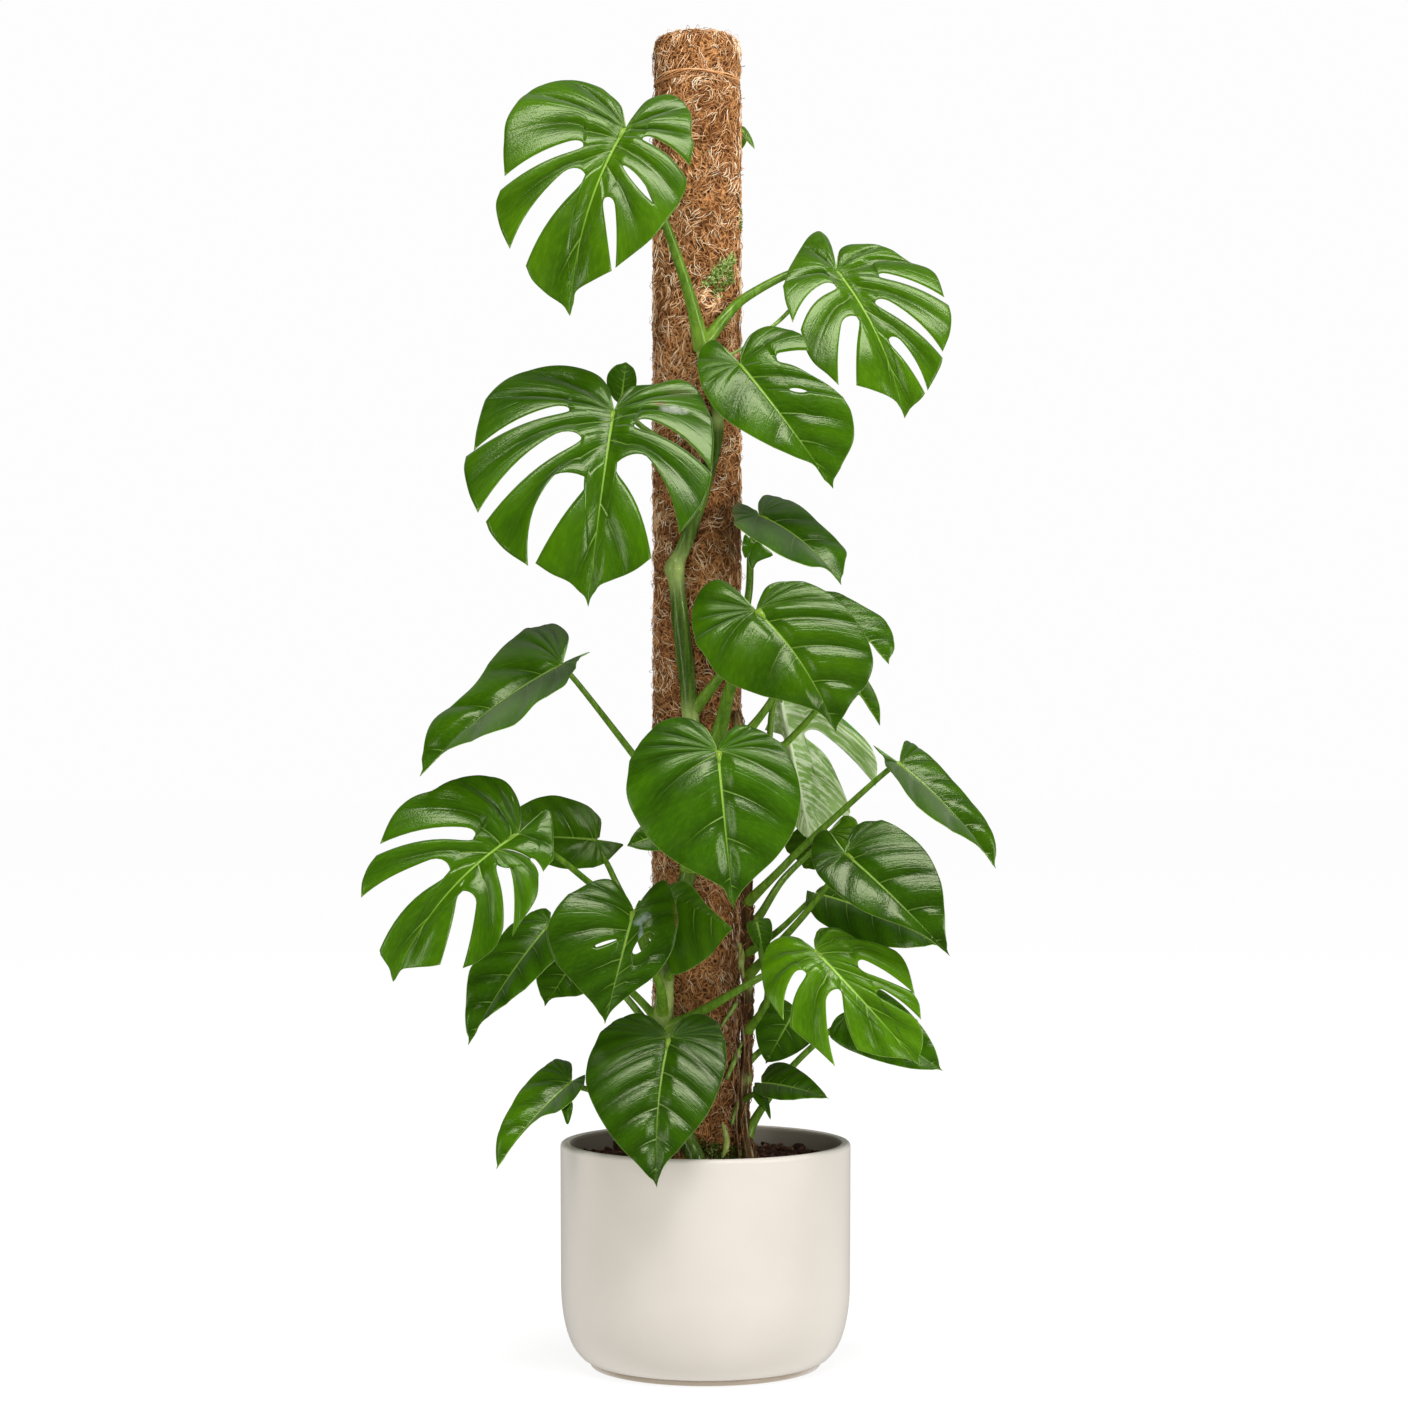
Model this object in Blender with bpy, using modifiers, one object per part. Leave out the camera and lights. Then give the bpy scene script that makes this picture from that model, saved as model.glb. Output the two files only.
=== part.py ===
"""A potted monstera on a coir pole: pot, soil, pole, two stems and 31 leaves on their petioles.

Metres, +Z up. The origin is the centre of the pot's flat underside and the front faces -Y.
Every leaf is drawn as the front view shows it, in millimetres across and up from the origin as seen
from EYE, and is then laid on a blade that is folded, arched and turned in space.
"""
import math

import bmesh
import bpy
import numpy as np
from mathutils import Vector

# driving sizes, metres
GAP = 0.0003               # room between neighbours that touch
POT_R = 0.1641             # pot at the rim
POT_H = 0.2510
POT_WALL = 0.0120
POT_FLOOR = 0.0120
FOOT_R = 0.1298            # flat disc that the pot stands on
SOIL_TOP = 0.2280
CLIMB_OFF = 0.0011         # room between a climbing stem and the coir
POLE_X = -0.0096           # the pole's axis stands a little left of the pot's
POLE_R = 0.0505
POLE_TOP = 1.5000
POLE_BOTTOM = 0.0800       # it stands in the soil down to here
BAND_Z = 1.4560            # tie that draws the coir in below the top
CORE_R = 0.0140
CORE_TOP = 1.4600
BLADE = 0.0012             # thickness of a leaf blade
PETIOLE_TOP_R = 0.0030
PETIOLE_END_R = 0.0052
VEIN_BOW = 0.30            # how far a side vein is bowed towards the petiole, unless a slit says otherwise
BASAL = 0.36               # share of the edge whose veins all start at the petiole
LAST_VEIN = 0.88           # share of the midrib where the last side vein leaves it
ROUND_STEPS = 40
COLS = 6                   # facets along the edge of a whole half blade
ROWS = (2, (0.42, 1.0))    # facets from the midrib to the middle, and the steps from there to the edge
LOBE_COLS = 3              # facets along the edge of one lobe
LOBE_ROWS = (2, (0.35, 0.80, 1.0))
HOLE_REACH = 0.78          # a closed slit ends at most this far along the outer part of its vein
EYE = np.array([-0.0017, -3.627, 0.7107])   # the front view is drawn as seen from here

# Edge of a whole half blade from the sinus to the tip, as shares of its width and of its length;
# points before the petiole are shares of the lobe's own length.
HEART = [(0.045, -0.42), (0.17, -0.84), (0.40, -1.00), (0.66, -0.86), (0.88, -0.40), (1.00, 0.08),
         (0.985, 0.26), (0.87, 0.46), (0.67, 0.65), (0.42, 0.81), (0.20, 0.905), (0.08, 0.95), (0.0, 1.0)]

# Stems that climb the pole: angle round it from the front (degrees), height, radius and how far they
# stand off the pole (mm).
STEMS = {
    "stem_main": [(0, 172, 11, 13), (0, 232, 11, 13), (-8, 258, 10.5, 5), (-18, 285, 10.5, 0),
                  (-32, 348, 10, 0), (-36, 384, 10, 0), (-37, 398, 12.5, 0), (-36, 413, 10, 0),
                  (-32, 460, 9.5, 0), (-16, 527, 9.5, 0), (-3, 594, 9.5, 0), (-3, 672, 9.5, 0),
                  (-8, 750, 9.5, 0), (-15, 817, 9.5, 0), (-22, 882, 9.5, 0), (-23, 896, 12, 0),
                  (-20, 908, 9, 0), (-12, 926, 8, 0), (4, 972, 7.5, 0), (15, 1012, 7, 0), (24, 1056, 6.5, 0),
                  (17, 1100, 6.5, 0), (6, 1143, 8, 0), (7, 1164, 5.5, 0)],
    "stem_side": [(56, 172, 8, 13), (56, 232, 8, 13), (58, 262, 7.5, 5), (62, 290, 7, 0), (70, 322, 7, 0),
                  (79, 412, 6.5, 0), (79, 502, 6.5, 0), (70, 581, 6.5, 0), (60, 660, 6, 0), (56, 716, 6, 0),
                  (52, 738, 4, 0)],
}

# Colour, roughness of each material.
FINISHES = {
    "pot_glaze": ((0.76, 0.72, 0.65), 0.45), "soil": ((0.035, 0.020, 0.012), 0.95),
    "coir": ((0.30, 0.15, 0.06), 0.95), "pole_wood": ((0.45, 0.30, 0.17), 0.75),
    "stem_green": ((0.12, 0.20, 0.04), 0.50), "leaf_dark": ((0.018, 0.085, 0.014), 0.35),
    "leaf_mid": ((0.035, 0.150, 0.020), 0.35), "leaf_light": ((0.070, 0.220, 0.030), 0.38),
    "leaf_pale": ((0.280, 0.420, 0.170), 0.60),
}

# Each leaf: where the petiole meets the blade, the tip and the petiole's way to the stem as
# (across, up, depth), the way that the top faces, the half widths of the left and right side as seen
# with the tip down, the fold and the arch in degrees, and both edges. An edge is a list of lobes with
# a slit between two: (across, up, width) of its inner end, then its bow where that is its own, and
# the outer end where the slit is closed. Where lobes cross above the petiole, least is how far each
# may pass the midrib's line, as a share of the half width. thick widens the petiole.
LEAVES = {
    "leaf_01": dict(
        tone="light", base=(-91, 1400, -130), tip=(-154, 1186, -175), face=(-0.05, -1, 0.25), half=(135, 90),
        fold=8, curl=0.1, arch=25, bow=0.05, thick=1.25,
        petiole=[(-74, 1358, -118), (-47, 1295, -105), (-20, 1216, -80), (-4, 1149, -60)],
        left=[[(-90, 1410), (-96, 1425), (-107, 1437), (-123, 1448), (-156, 1455), (-194, 1445),
              (-220, 1418), (-229, 1381), (-228, 1345)], (-139, 1378, 15, 0.22), [(-233, 1329),
              (-238, 1312), (-233, 1286), (-222, 1262)], (-136, 1346, 26, 0.22), [(-204, 1243),
              (-196, 1226), (-176, 1207)]],
        right=[[(-83, 1414), (-65, 1432), (-37, 1437), (-18, 1418), (-16, 1391), (-18, 1357)],
               (-72, 1385, 9, 0.18), [(-21, 1342), (-23, 1329), (-32, 1311), (-45, 1293)],
               (-93, 1356, 10, 0.1, -61, 1315), [(-45, 1293), (-60, 1275), (-81, 1257), (-102, 1240)],
               (-114, 1319, 14), [(-106, 1237), (-127, 1226), (-146, 1215), (-155, 1205), (-157, 1195)]]),
    "leaf_02": dict(
        tone="light", base=(149, 1238, -20), tip=(226, 1070, -80), face=(0.1, -1, 0.3), half=(90, 118),
        fold=8, curl=0.1, arch=25, bow=-0.04, least=-0.12, thick=1.25,
        petiole=[(121, 1240, -5), (90, 1232, -8), (45, 1207, -34), (24, 1187, -52), (-1, 1153, -60)],
        left=[[(145, 1248), (144, 1262), (140, 1273), (135, 1279), (128, 1282), (120, 1278), (112, 1269),
              (103, 1254), (94, 1237), (89, 1221), (91, 1201), (99, 1178)], (149, 1216, 15), [(108, 1170),
              (114, 1148), (124, 1132), (138, 1120), (151, 1107)], (171, 1184, 20, 0.2), [(171, 1107),
              (191, 1101), (215, 1090)]],
        right=[[(150, 1248), (152, 1260), (161, 1266), (175, 1267), (195, 1266), (213, 1260), (230, 1249),
               (243, 1244), (254, 1241), (263, 1232), (271, 1207)], (197, 1229, 11, 0.25), [(276, 1198),
               (279, 1184), (277, 1165), (269, 1145)], (193, 1200, 14), [(269, 1138), (266, 1127),
               (252, 1101)], (208, 1159, 13), [(249, 1098), (240, 1084)]]),
    "leaf_03": dict(
        tone="mid", base=(-104, 1079, -120), tip=(-133, 856, -190), face=(-0.05, -1, 0.3), half=(170, 125),
        fold=8, curl=0.1, arch=25, thick=1.2,
        petiole=[(-74, 1045, -100), (-40, 1002, -82), (-10, 968, -58)],
        left=[[(-105, 1087), (-109, 1102), (-120, 1116), (-140, 1125), (-165, 1129), (-192, 1126),
              (-222, 1115), (-247, 1095), (-259, 1062), (-263, 1034)], (-155, 1077, 13, 0.25),
              [(-272, 1027), (-274, 1011), (-268, 984), (-258, 962)], (-141, 1046, 23), [(-249, 952),
              (-243, 938), (-226, 919), (-201, 902)], (-138, 1002, 40, 0.42), [(-193, 905), (-175, 893),
              (-151, 881)]],
        right=[[(-97, 1094), (-83, 1106), (-57, 1108), (-29, 1113), (-7, 1100), (5, 1074), (9, 1045),
               (7, 1010)], (-81, 1059, 17, 0.25), [(7, 1006), (1, 982), (-12, 959), (-30, 938)],
               (-100, 1018, 38), [(-61, 911), (-80, 897), (-106, 886), (-120, 880), (-129, 871)]]),
    "leaf_04": dict(
        tone="mid", base=(39, 1132, -100), tip=(145, 990, -140), face=(0.05, -1, 0.25), half=(75, 95),
        fold=10, curl=0.1, arch=25,
        petiole=[(19, 1127, -88), (-2, 1148, -62)],
        left=[[(29, 1142), (12, 1159), (-3, 1152), (-9, 1134), (-5, 1108), (14, 1077), (55, 1048),
              (98, 1027), (121, 1018), (133, 1011), (140, 1001)]],
        right=[[(41, 1148), (52, 1166), (72, 1175), (96, 1171), (111, 1163), (117, 1146)],
               (82, 1135, 13, 0.15), [(121, 1117), (139, 1108), (156, 1094)],
               (95, 1102, 7, 0.05, 114, 1093), [(156, 1094), (166, 1075), (168, 1045), (154, 1015)]]),
    "leaf_05": dict(
        tone="dark", base=(61, 960, -70), tip=(154, 881, -120), face=(0.15, -0.55, 0.85), half=(70, 70),
        fold=10, curl=0.08, arch=30, bow=-0.03, least=-0.12, thick=1.2,
        petiole=[(52, 926, -62), (48, 864, -64), (28, 796, -66), (-18, 733, -60)],
        left=[[(58, 965), (50, 974), (45, 978), (38, 976), (31, 969), (30, 964), (33, 955), (41, 943),
              (53, 933), (69, 923), (84, 914), (101, 907), (118, 901), (137, 899)]],
        right=[[(62, 965), (60, 972), (62, 977), (67, 982), (77, 982), (94, 977), (113, 965), (132, 948),
               (150, 931), (160, 918), (158, 906)]]),
    "leaf_06": dict(
        tone="mid", base=(57, 852, -150), tip=(148, 713, -185), face=(0.05, -1, 0.25), half=(105, 110),
        fold=6, curl=0.12, arch=25, bow=-0.05, thick=1.5,
        petiole=[(47, 807, -115), (28, 764, -88), (14, 711, -72), (-12, 669, -60)],
        left=[[(48, 866), (35, 880), (14, 886), (-4, 875), (-14, 857), (-15, 834), (-6, 807), (18, 775),
              (58, 757), (101, 746), (130, 735)]],
        right=[[(62, 866), (71, 879), (94, 885), (122, 881), (146, 867), (166, 846), (183, 820), (190, 793),
               (182, 767), (164, 745)]]),
    "leaf_07": dict(
        tone="mid", base=(132, 864, -60), tip=(208, 791, -90), face=(0.2, -0.8, 0.6), half=(45, 50),
        fold=12, curl=0.12, arch=30,
        petiole=[(107, 813, -46), (75, 750, -40), (47, 703, -34)],
        left=[[(124, 864), (116, 850), (130, 833), (158, 825), (185, 818), (200, 807)]],
        right=[[(130, 873), (150, 872), (176, 858), (198, 846), (210, 830), (214, 809)]]),
    "leaf_08": dict(
        tone="mid", base=(155, 782, -20), tip=(198, 721, -45), face=(0.2, -0.9, 0.4), half=(35, 30),
        fold=12, curl=0.12, arch=30,
        petiole=[(121, 733, -8), (84, 694, -8), (49, 654, -20)],
        left=[[(150, 782), (148, 771), (159, 764), (175, 756), (189, 741)]],
        right=[[(158, 788), (173, 784), (186, 770), (197, 745)]]),
    "leaf_09": dict(
        tone="pale", base=(83, 762, 10), tip=(121, 586, 40), face=(0.1, 1, -0.1), half=(110, 85),
        fold=6, curl=0.1, arch=-15, lobe=(0.2, 0.2),
        petiole=[(75, 737, 4), (69, 682, 2), (53, 620, -8)],
        left=[[(91, 769), (111, 771), (139, 744), (158, 723), (183, 703), (194, 680), (193, 652)],
              (112, 711, 16), [(146, 669), (158, 643), (164, 621), (151, 618), (138, 605)]],
        right=[[(80, 759), (77, 745), (73, 730), (67, 716)], (89, 704, 8, 0.2), [(75, 686), (78, 654),
               (93, 618)]]),
    "leaf_10": dict(
        tone="mid", base=(220, 678, -50), tip=(329, 559, -100), face=(0.45, -0.65, 0.6), half=(40, 62),
        fold=26, curl=0.05, arch=25, lobe=(0.22, 0.22),
        petiole=[(207, 671, -52), (116, 589, -60), (84, 557, -52), (50, 518, -28)],
        left=[[(208, 682), (198, 703), (202, 685), (212, 665), (232, 638), (258, 614), (293, 594),
              (317, 578)]],
        right=[[(223, 694), (227, 704), (240, 698), (254, 686), (284, 655), (316, 616), (328, 589)]]),
    "leaf_11": dict(
        tone="mid", base=(-163, 791, -80), tip=(-324, 664, -135), face=(-0.5, -0.6, 0.65), half=(80, 60),
        fold=18, curl=0.05, arch=25,
        petiole=[(-148, 773, -76), (-83, 690, -62), (-52, 648, -58), (-13, 614, -58)],
        left=[[(-164, 801), (-156, 815), (-157, 827), (-173, 837), (-193, 833), (-215, 822), (-243, 795),
              (-260, 770), (-284, 747), (-312, 720)]],
        right=[[(-154, 796), (-147, 806), (-141, 812), (-141, 801), (-148, 784), (-162, 765), (-193, 746),
               (-218, 721), (-257, 706), (-295, 691), (-310, 686), (-319, 678)]]),
    "leaf_12": dict(
        tone="dark", base=(14, 693, -180), tip=(32, 512, -220), face=(-0.05, -1, 0.25), half=(115, 100),
        fold=6, curl=0.12, arch=25, thick=1.2,
        petiole=[(7, 648, -140), (-3, 592, -90), (-18, 558, -60)],
        left=[[(7, 707), (-4, 723), (-26, 731), (-54, 723), (-75, 699), (-88, 669), (-88, 637), (-70, 601),
              (-50, 579), (-24, 561), (7, 545), (21, 536), (29, 525)]],
        right=[[(20, 707), (30, 718), (49, 721), (80, 705), (100, 677), (108, 640), (101, 604), (82, 574),
               (57, 550), (44, 537), (36, 525)]]),
    "leaf_13": dict(
        tone="mid", base=(-212, 599, -120), tip=(-354, 431, -165), face=(-0.1, -1, 0.3), half=(140, 80),
        fold=8, curl=0.1, arch=20, bow=0.07,
        petiole=[(-176, 578, -104), (-130, 542, -92), (-74, 495, -78), (-42, 467, -56)],
        left=[[(-209, 610), (-209, 626), (-216, 645), (-229, 659), (-251, 664), (-271, 663), (-291, 657),
              (-309, 647), (-324, 643), (-337, 637), (-350, 626), (-359, 612), (-369, 587)],
              (-263, 592, 19, 0.36), [(-373, 574), (-383, 560), (-389, 544), (-390, 526)],
              (-289, 557, 27, 0.14), [(-369, 467), (-368, 459), (-361, 443)]],
        right=[[(-199, 617), (-185, 627), (-176, 623), (-173, 608), (-172, 582), (-175, 566), (-184, 555)],
               (-198, 569, 4), [(-189, 553), (-190, 532), (-197, 516), (-208, 500), (-219, 482)],
               (-236, 562, 16, 0.18), [(-229, 492), (-233, 479), (-242, 466), (-260, 452), (-275, 446)],
               (-275, 533, 22, 0.2), [(-300, 450), (-312, 448), (-330, 447), (-346, 446), (-355, 439)]]),
    "leaf_14": dict(
        tone="mid", base=(-124, 592, 15), tip=(-242, 594, 30), face=(-0.1, -0.9, 0.5), half=(46, 38),
        fold=10, curl=0.1, arch=20,
        petiole=[(-112, 566, 2), (-100, 541, -18), (-74, 490, -45), (-42, 428, -56)],
        left=[[(-120, 595), (-118, 612), (-122, 620), (-133, 630), (-151, 638), (-174, 642), (-193, 638),
              (-212, 628), (-228, 612)]],
        right=[[(-116, 594), (-108, 599), (-98, 601), (-92, 594), (-97, 582), (-113, 566), (-134, 560),
               (-165, 560), (-199, 572)]]),
    "leaf_15": dict(
        tone="dark", base=(-42, 601, -72), tip=(-89, 585, -84), face=(-0.1, -0.95, 0.3), half=(20, 20),
        fold=10, curl=0.1, arch=20, lobe=(0.3, 0.3),
        petiole=[(-29, 586, -64), (-15, 575, -58)]),
    "leaf_16": dict(
        tone="dark", base=(-81, 512, -140), tip=(-114, 383, -170), face=(0, -1, 0.25), half=(95, 60),
        fold=8, curl=0.12, arch=25,
        petiole=[(-72, 473, -112), (-52, 428, -90), (-45, 390, -56)],
        left=[[(-89, 527), (-105, 546), (-127, 545), (-151, 532), (-170, 512), (-180, 488), (-176, 467),
              (-168, 450)], (-101, 479, 4, 0.1, -129, 465), [(-168, 450), (-148, 428), (-126, 404)]],
        right=[[(-78, 524), (-70, 523), (-62, 537), (-46, 545), (-35, 524), (-31, 495)],
               (-83, 465, 24, 0.3, -63, 489), [(-31, 495), (-38, 466), (-55, 440), (-81, 420), (-97, 407),
               (-108, 396)]]),
    "leaf_17": dict(
        tone="mid", base=(-45, 532, -94), tip=(31, 491, -114), face=(0.1, -1, 0.1), half=(70, 22),
        fold=6, curl=0.1, arch=15,
        petiole=[(-35, 484, -87), (-33, 456, -80), (-38, 431, -58)],
        left=[[(-42, 518), (-42, 490), (-44, 462), (-38, 440), (-18, 445), (10, 465)]],
        right=[[(-38, 542), (-24, 545), (-11, 535), (1, 519)]]),
    "leaf_18": dict(
        tone="dark", base=(-176, 497, -25), tip=(-269, 359, -85), face=(-0.3, -0.8, 0.5), half=(70, 50),
        fold=18, curl=0.08, arch=25,
        petiole=[(-148, 472, -35), (-81, 417, -56), (-47, 377, -54)],
        left=[[(-175, 509), (-183, 514), (-201, 507), (-220, 497), (-238, 475), (-262, 452), (-269, 437),
              (-271, 413), (-272, 389)]],
        right=[[(-169, 499), (-164, 484), (-165, 462), (-181, 445), (-194, 432), (-225, 406), (-253, 385),
               (-262, 373)]]),
    "leaf_19": dict(
        tone="mid", base=(-136, 473, 0), tip=(-182, 403, -20), face=(-0.1, -1, 0.2), half=(45, 40),
        fold=8, curl=0.1, arch=20,
        petiole=[(-106, 433, -18), (-74, 394, -38), (-46, 354, -54)],
        left=[[(-144, 481), (-165, 479), (-185, 458), (-192, 439), (-189, 422)]],
        right=[[(-126, 473), (-117, 454), (-122, 428), (-141, 416), (-157, 414), (-174, 412)]]),
    "leaf_20": dict(
        tone="mid", base=(-152, 318, -100), tip=(-237, 219, -145), face=(-0.45, -0.6, 0.6), half=(50, 40),
        fold=20, curl=0.05, arch=25,
        petiole=[(-119, 305, -90), (-74, 288, -72), (-29, 269, -58)],
        left=[[(-151, 329), (-153, 340), (-167, 343), (-181, 336), (-203, 317), (-219, 292), (-233, 264),
              (-237, 243)]],
        right=[[(-142, 320), (-136, 325), (-138, 313), (-151, 297), (-165, 284), (-187, 277), (-215, 262),
               (-229, 249), (-235, 239)]]),
    "leaf_21": dict(
        tone="dark", base=(-41, 368, -130), tip=(-55, 198, -205), face=(-0.05, -1, 0.4), half=(98, 75),
        fold=7, curl=0.12, arch=22, bow=0.03,
        petiole=[(-37, 320, -100), (-28, 264, -58)],
        left=[[(-49, 381), (-62, 391), (-83, 394), (-106, 385), (-124, 363), (-134, 338), (-135, 314),
              (-123, 283), (-101, 249), (-74, 221)]],
        right=[[(-36, 379), (-25, 390), (-8, 395), (11, 387), (23, 363), (22, 331), (5, 286), (-24, 248),
               (-47, 222)]]),
    "leaf_22": dict(
        tone="dark", base=(158, 577, -120), tip=(277, 460, -175), face=(0.1, -1, 0.35), half=(70, 75),
        fold=10, curl=0.12, arch=25, least=-0.12,
        petiole=[(141, 544, -98), (105, 499, -72), (53, 436, -26)],
        left=[[(156, 582), (149, 588), (142, 599), (137, 603), (130, 602), (123, 594), (120, 583),
              (121, 568), (126, 555), (143, 536), (177, 512), (215, 497), (249, 482)]],
        right=[[(163, 585), (166, 603), (178, 612), (195, 613), (223, 603), (249, 580), (266, 546),
               (271, 510), (272, 485)]]),
    "leaf_23": dict(
        tone="dark", base=(124, 532, -40), tip=(264, 472, -90), face=(0.1, -0.7, 0.7), half=(45, 40),
        fold=10, curl=0.12, arch=25,
        petiole=[(114, 519, -42), (84, 490, -42), (52, 462, -28)],
        left=[[(120, 540), (115, 533), (118, 512), (132, 497), (170, 477), (220, 469)]],
        right=[[(135, 541), (164, 535), (209, 512), (249, 490)]]),
    "leaf_24": dict(
        tone="light", base=(124, 467, -120), tip=(243, 336, -165), face=(0, -1, 0.3), half=(85, 88),
        fold=10, curl=0.12, arch=22,
        petiole=[(96, 452, -104), (62, 436, -88), (-4, 398, -72), (-42, 377, -56)],
        left=[[(116, 476), (106, 482), (88, 483), (71, 472), (64, 447), (70, 414), (89, 387)],
              (114, 440, 14), [(96, 380), (107, 370), (127, 354), (147, 335)], (150, 422, 18, 0.15),
              [(172, 354), (192, 348), (211, 345), (227, 344), (236, 342)]],
        right=[[(123, 479), (130, 491), (152, 491), (184, 473), (204, 469), (218, 464), (229, 448),
               (237, 417)], (174, 447, 17), [(234, 420), (242, 407), (244, 388)], (194, 417, 12),
               [(240, 388), (246, 371), (245, 352)]]),
    "leaf_25": dict(
        tone="dark", base=(164, 397, -30), tip=(269, 330, -70), face=(0.1, -1, 0.4), half=(40, 40),
        fold=10, curl=0.1, arch=20, lobe=(0.2, 0.2),
        petiole=[(150, 383, -30), (98, 335, -32), (58, 279, -30), (41, 250, -30)]),
    "leaf_26": dict(
        tone="dark", base=(63, 317, -70), tip=(140, 299, -120), face=(0.1, -0.8, 0.6), half=(25, 40),
        fold=12, curl=0.1, arch=25,
        petiole=[(58, 307, -55), (48, 297, -30)],
        left=[[(58, 320), (56, 311), (66, 301), (90, 297), (118, 299)]],
        right=[[(64, 325), (73, 337), (90, 339), (107, 331), (124, 317)]]),
    "leaf_27": dict(
        tone="dark", base=(101, 397, -6), tip=(68, 338, -20), face=(-0.1, -1, 0.3), half=(38, 35),
        fold=8, curl=0.1, arch=20, lobe=(0.3, 0.2),
        petiole=[(79, 369, 2), (50, 338, -14)]),
    "leaf_28": dict(
        tone="dark", base=(-96, 1086, -40), tip=(-90, 1134, -52), face=(0, -1, 0.2), half=(16, 17),
        fold=8, curl=0.1, arch=15,
        petiole=[(-74, 1062, -46), (-29, 1032, -62), (2, 1007, -58)],
        left=[[(-90, 1087), (-81, 1099), (-78, 1112), (-80, 1124), (-85, 1131)]],
        right=[[(-100, 1088), (-108, 1098), (-112, 1109), (-111, 1120), (-105, 1128), (-97, 1133)]]),
    "leaf_29": dict(
        tone="light", base=(40, 1400, 40), tip=(56, 1376, 30), face=(0.3, -0.9, 0.2), half=(5, 5),
        fold=8, curl=0.1, arch=20, lobe=(0.2, 0.2),
        petiole=[(37, 1386, 38), (28, 1364, 34)]),
    "leaf_30": dict(
        tone="mid", base=(58, 499, -48), tip=(66, 462, -53), face=(0.1, -1, 0.2), half=(12, 16),
        fold=8, curl=0.1, arch=20, lobe=(0.2, 0.2),
        petiole=[(64, 456, -52), (70, 411, -38), (50, 374, -26)]),
    "leaf_31": dict(
        tone="light", base=(140, 601, 52), tip=(114, 559, 60), face=(0.05, -1, 0.3), half=(42, 36),
        fold=8, curl=0.1, arch=20,
        petiole=[(121, 580, 46), (87, 546, 18), (62, 507, -6), (52, 490, -18)],
        left=[[(135, 606), (122, 612), (106, 606), (95, 595), (90, 582), (98, 574), (105, 567),
              (109, 561)]],
        right=[[(142, 604), (148, 608), (152, 611), (155, 618), (161, 620), (171, 614), (174, 599),
               (168, 580), (152, 567), (133, 560), (121, 558)]]),
}


# shape of a blade
def spot(across, up, depth):
    """The point at a depth that stands at these millimetres of the front view."""
    flat = np.array([across / 1000, 0.0, up / 1000])
    return EYE + (flat - EYE) * (depth / 1000 - EYE[1]) / -EYE[1]


def smooth_line(points, per=16):
    """A reader, by share of its length, for the smooth line through some points, and its length."""
    p = np.array(points, float)
    if len(p) > 2:
        p = np.vstack([2 * p[0] - p[1], p, 2 * p[-1] - p[-2]])
        q = np.linspace(0, 1, per, endpoint=False)[:, None]
        runs = []
        for a, b, c, d in zip(p, p[1:], p[2:], p[3:]):
            runs.append(0.5 * (2 * b + (c - a) * q + (2 * a - 5 * b + 4 * c - d) * q ** 2
                               + (3 * b - a - 3 * c + d) * q ** 3))
        p = np.vstack(runs + [p[-2:-1]])
    along = np.concatenate([[0], np.cumsum(np.linalg.norm(np.diff(p, axis=0), axis=1))])

    def read(share):
        return np.stack([np.interp(share, along / along[-1], column) for column in p.T], -1)
    return read, along[-1]


def surface(leaf, u, v):
    """Where the point u across and v along the flat blade stands in space."""
    length = leaf["length"]
    half = np.where(u >= 0, leaf["half"][0], leaf["half"][1]) / 1000
    out = np.abs(u) / half
    along = v / length
    fold = np.radians(leaf["fold"]) * np.clip(0.55 + 0.6 * along, 0.3, 1)
    on = np.clip(along, 0, 1)
    x = u * np.cos(fold) + leaf.get("bow", 0) * length * 4 * on * (1 - on)
    lift = np.abs(u) * np.sin(fold) - leaf["curl"] * half * out ** 2.4
    arch = np.radians(leaf["arch"])
    bend = np.maximum(along, 0) * arch + np.minimum(along, 0) * 0.35 * arch
    y = length / arch * np.sin(bend)
    z = -length / arch * (1 - np.cos(bend))
    p = np.stack([x, y + lift * np.sin(bend), z + lift * np.cos(bend)], -1)
    return p @ leaf["turn"].T + leaf["origin"]


def place(leaf):
    """Sets the blade's length and its turn from the petiole's end, the tip and the facing."""
    base, tip = spot(*leaf["base"]), spot(*leaf["tip"])
    chord = tip - base
    leaf.update(origin=np.zeros(3), turn=np.eye(3), length=np.linalg.norm(chord))
    end = surface(leaf, np.array(1e-9), np.array(leaf["length"]))
    frames = []
    for y, z in ((chord, np.array(leaf["face"], float)), (end, np.array([0.0, 0.0, 1.0]))):
        y = y / np.linalg.norm(y)
        z = z - y * (z @ y)
        z = z / np.linalg.norm(z)
        frames.append(np.stack([np.cross(y, z), y, z], 1))
    leaf["turn"] = frames[0] @ frames[1].T * (np.linalg.norm(chord) / np.linalg.norm(end))
    leaf["origin"] = base


def on_blade(leaf, across, up, side):
    """The u, v of the flat blade that the front view shows at these millimetres."""
    seen = np.array([across / 1000, up / 1000])

    def miss(q):
        p = surface(leaf, q[0], q[1])
        return (EYE + (p - EYE) * -EYE[1] / (p[1] - EYE[1]))[[0, 2]] - seen

    q = np.array([side * 0.0004 * leaf["half"][0 if side == 1 else 1], 0.3 * leaf["length"]])
    step = 1e-5
    for _ in range(30):
        now = miss(q)
        slope = np.stack([(miss(q + [step, 0]) - now) / step, (miss(q + [0, step]) - now) / step], 1)
        move = np.linalg.lstsq(slope, now, rcond=None)[0]
        size = np.linalg.norm(move)
        q = q - move * min(1, 0.05 / max(size, 1e-9))
        if size < 1e-7:
            break
    least = leaf.get("least", 0.04) if q[1] < 0 else 0.04
    return np.array([max(side * q[0], 0.001 * least * leaf["half"][0 if side == 1 else 1]), q[1]])


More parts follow.
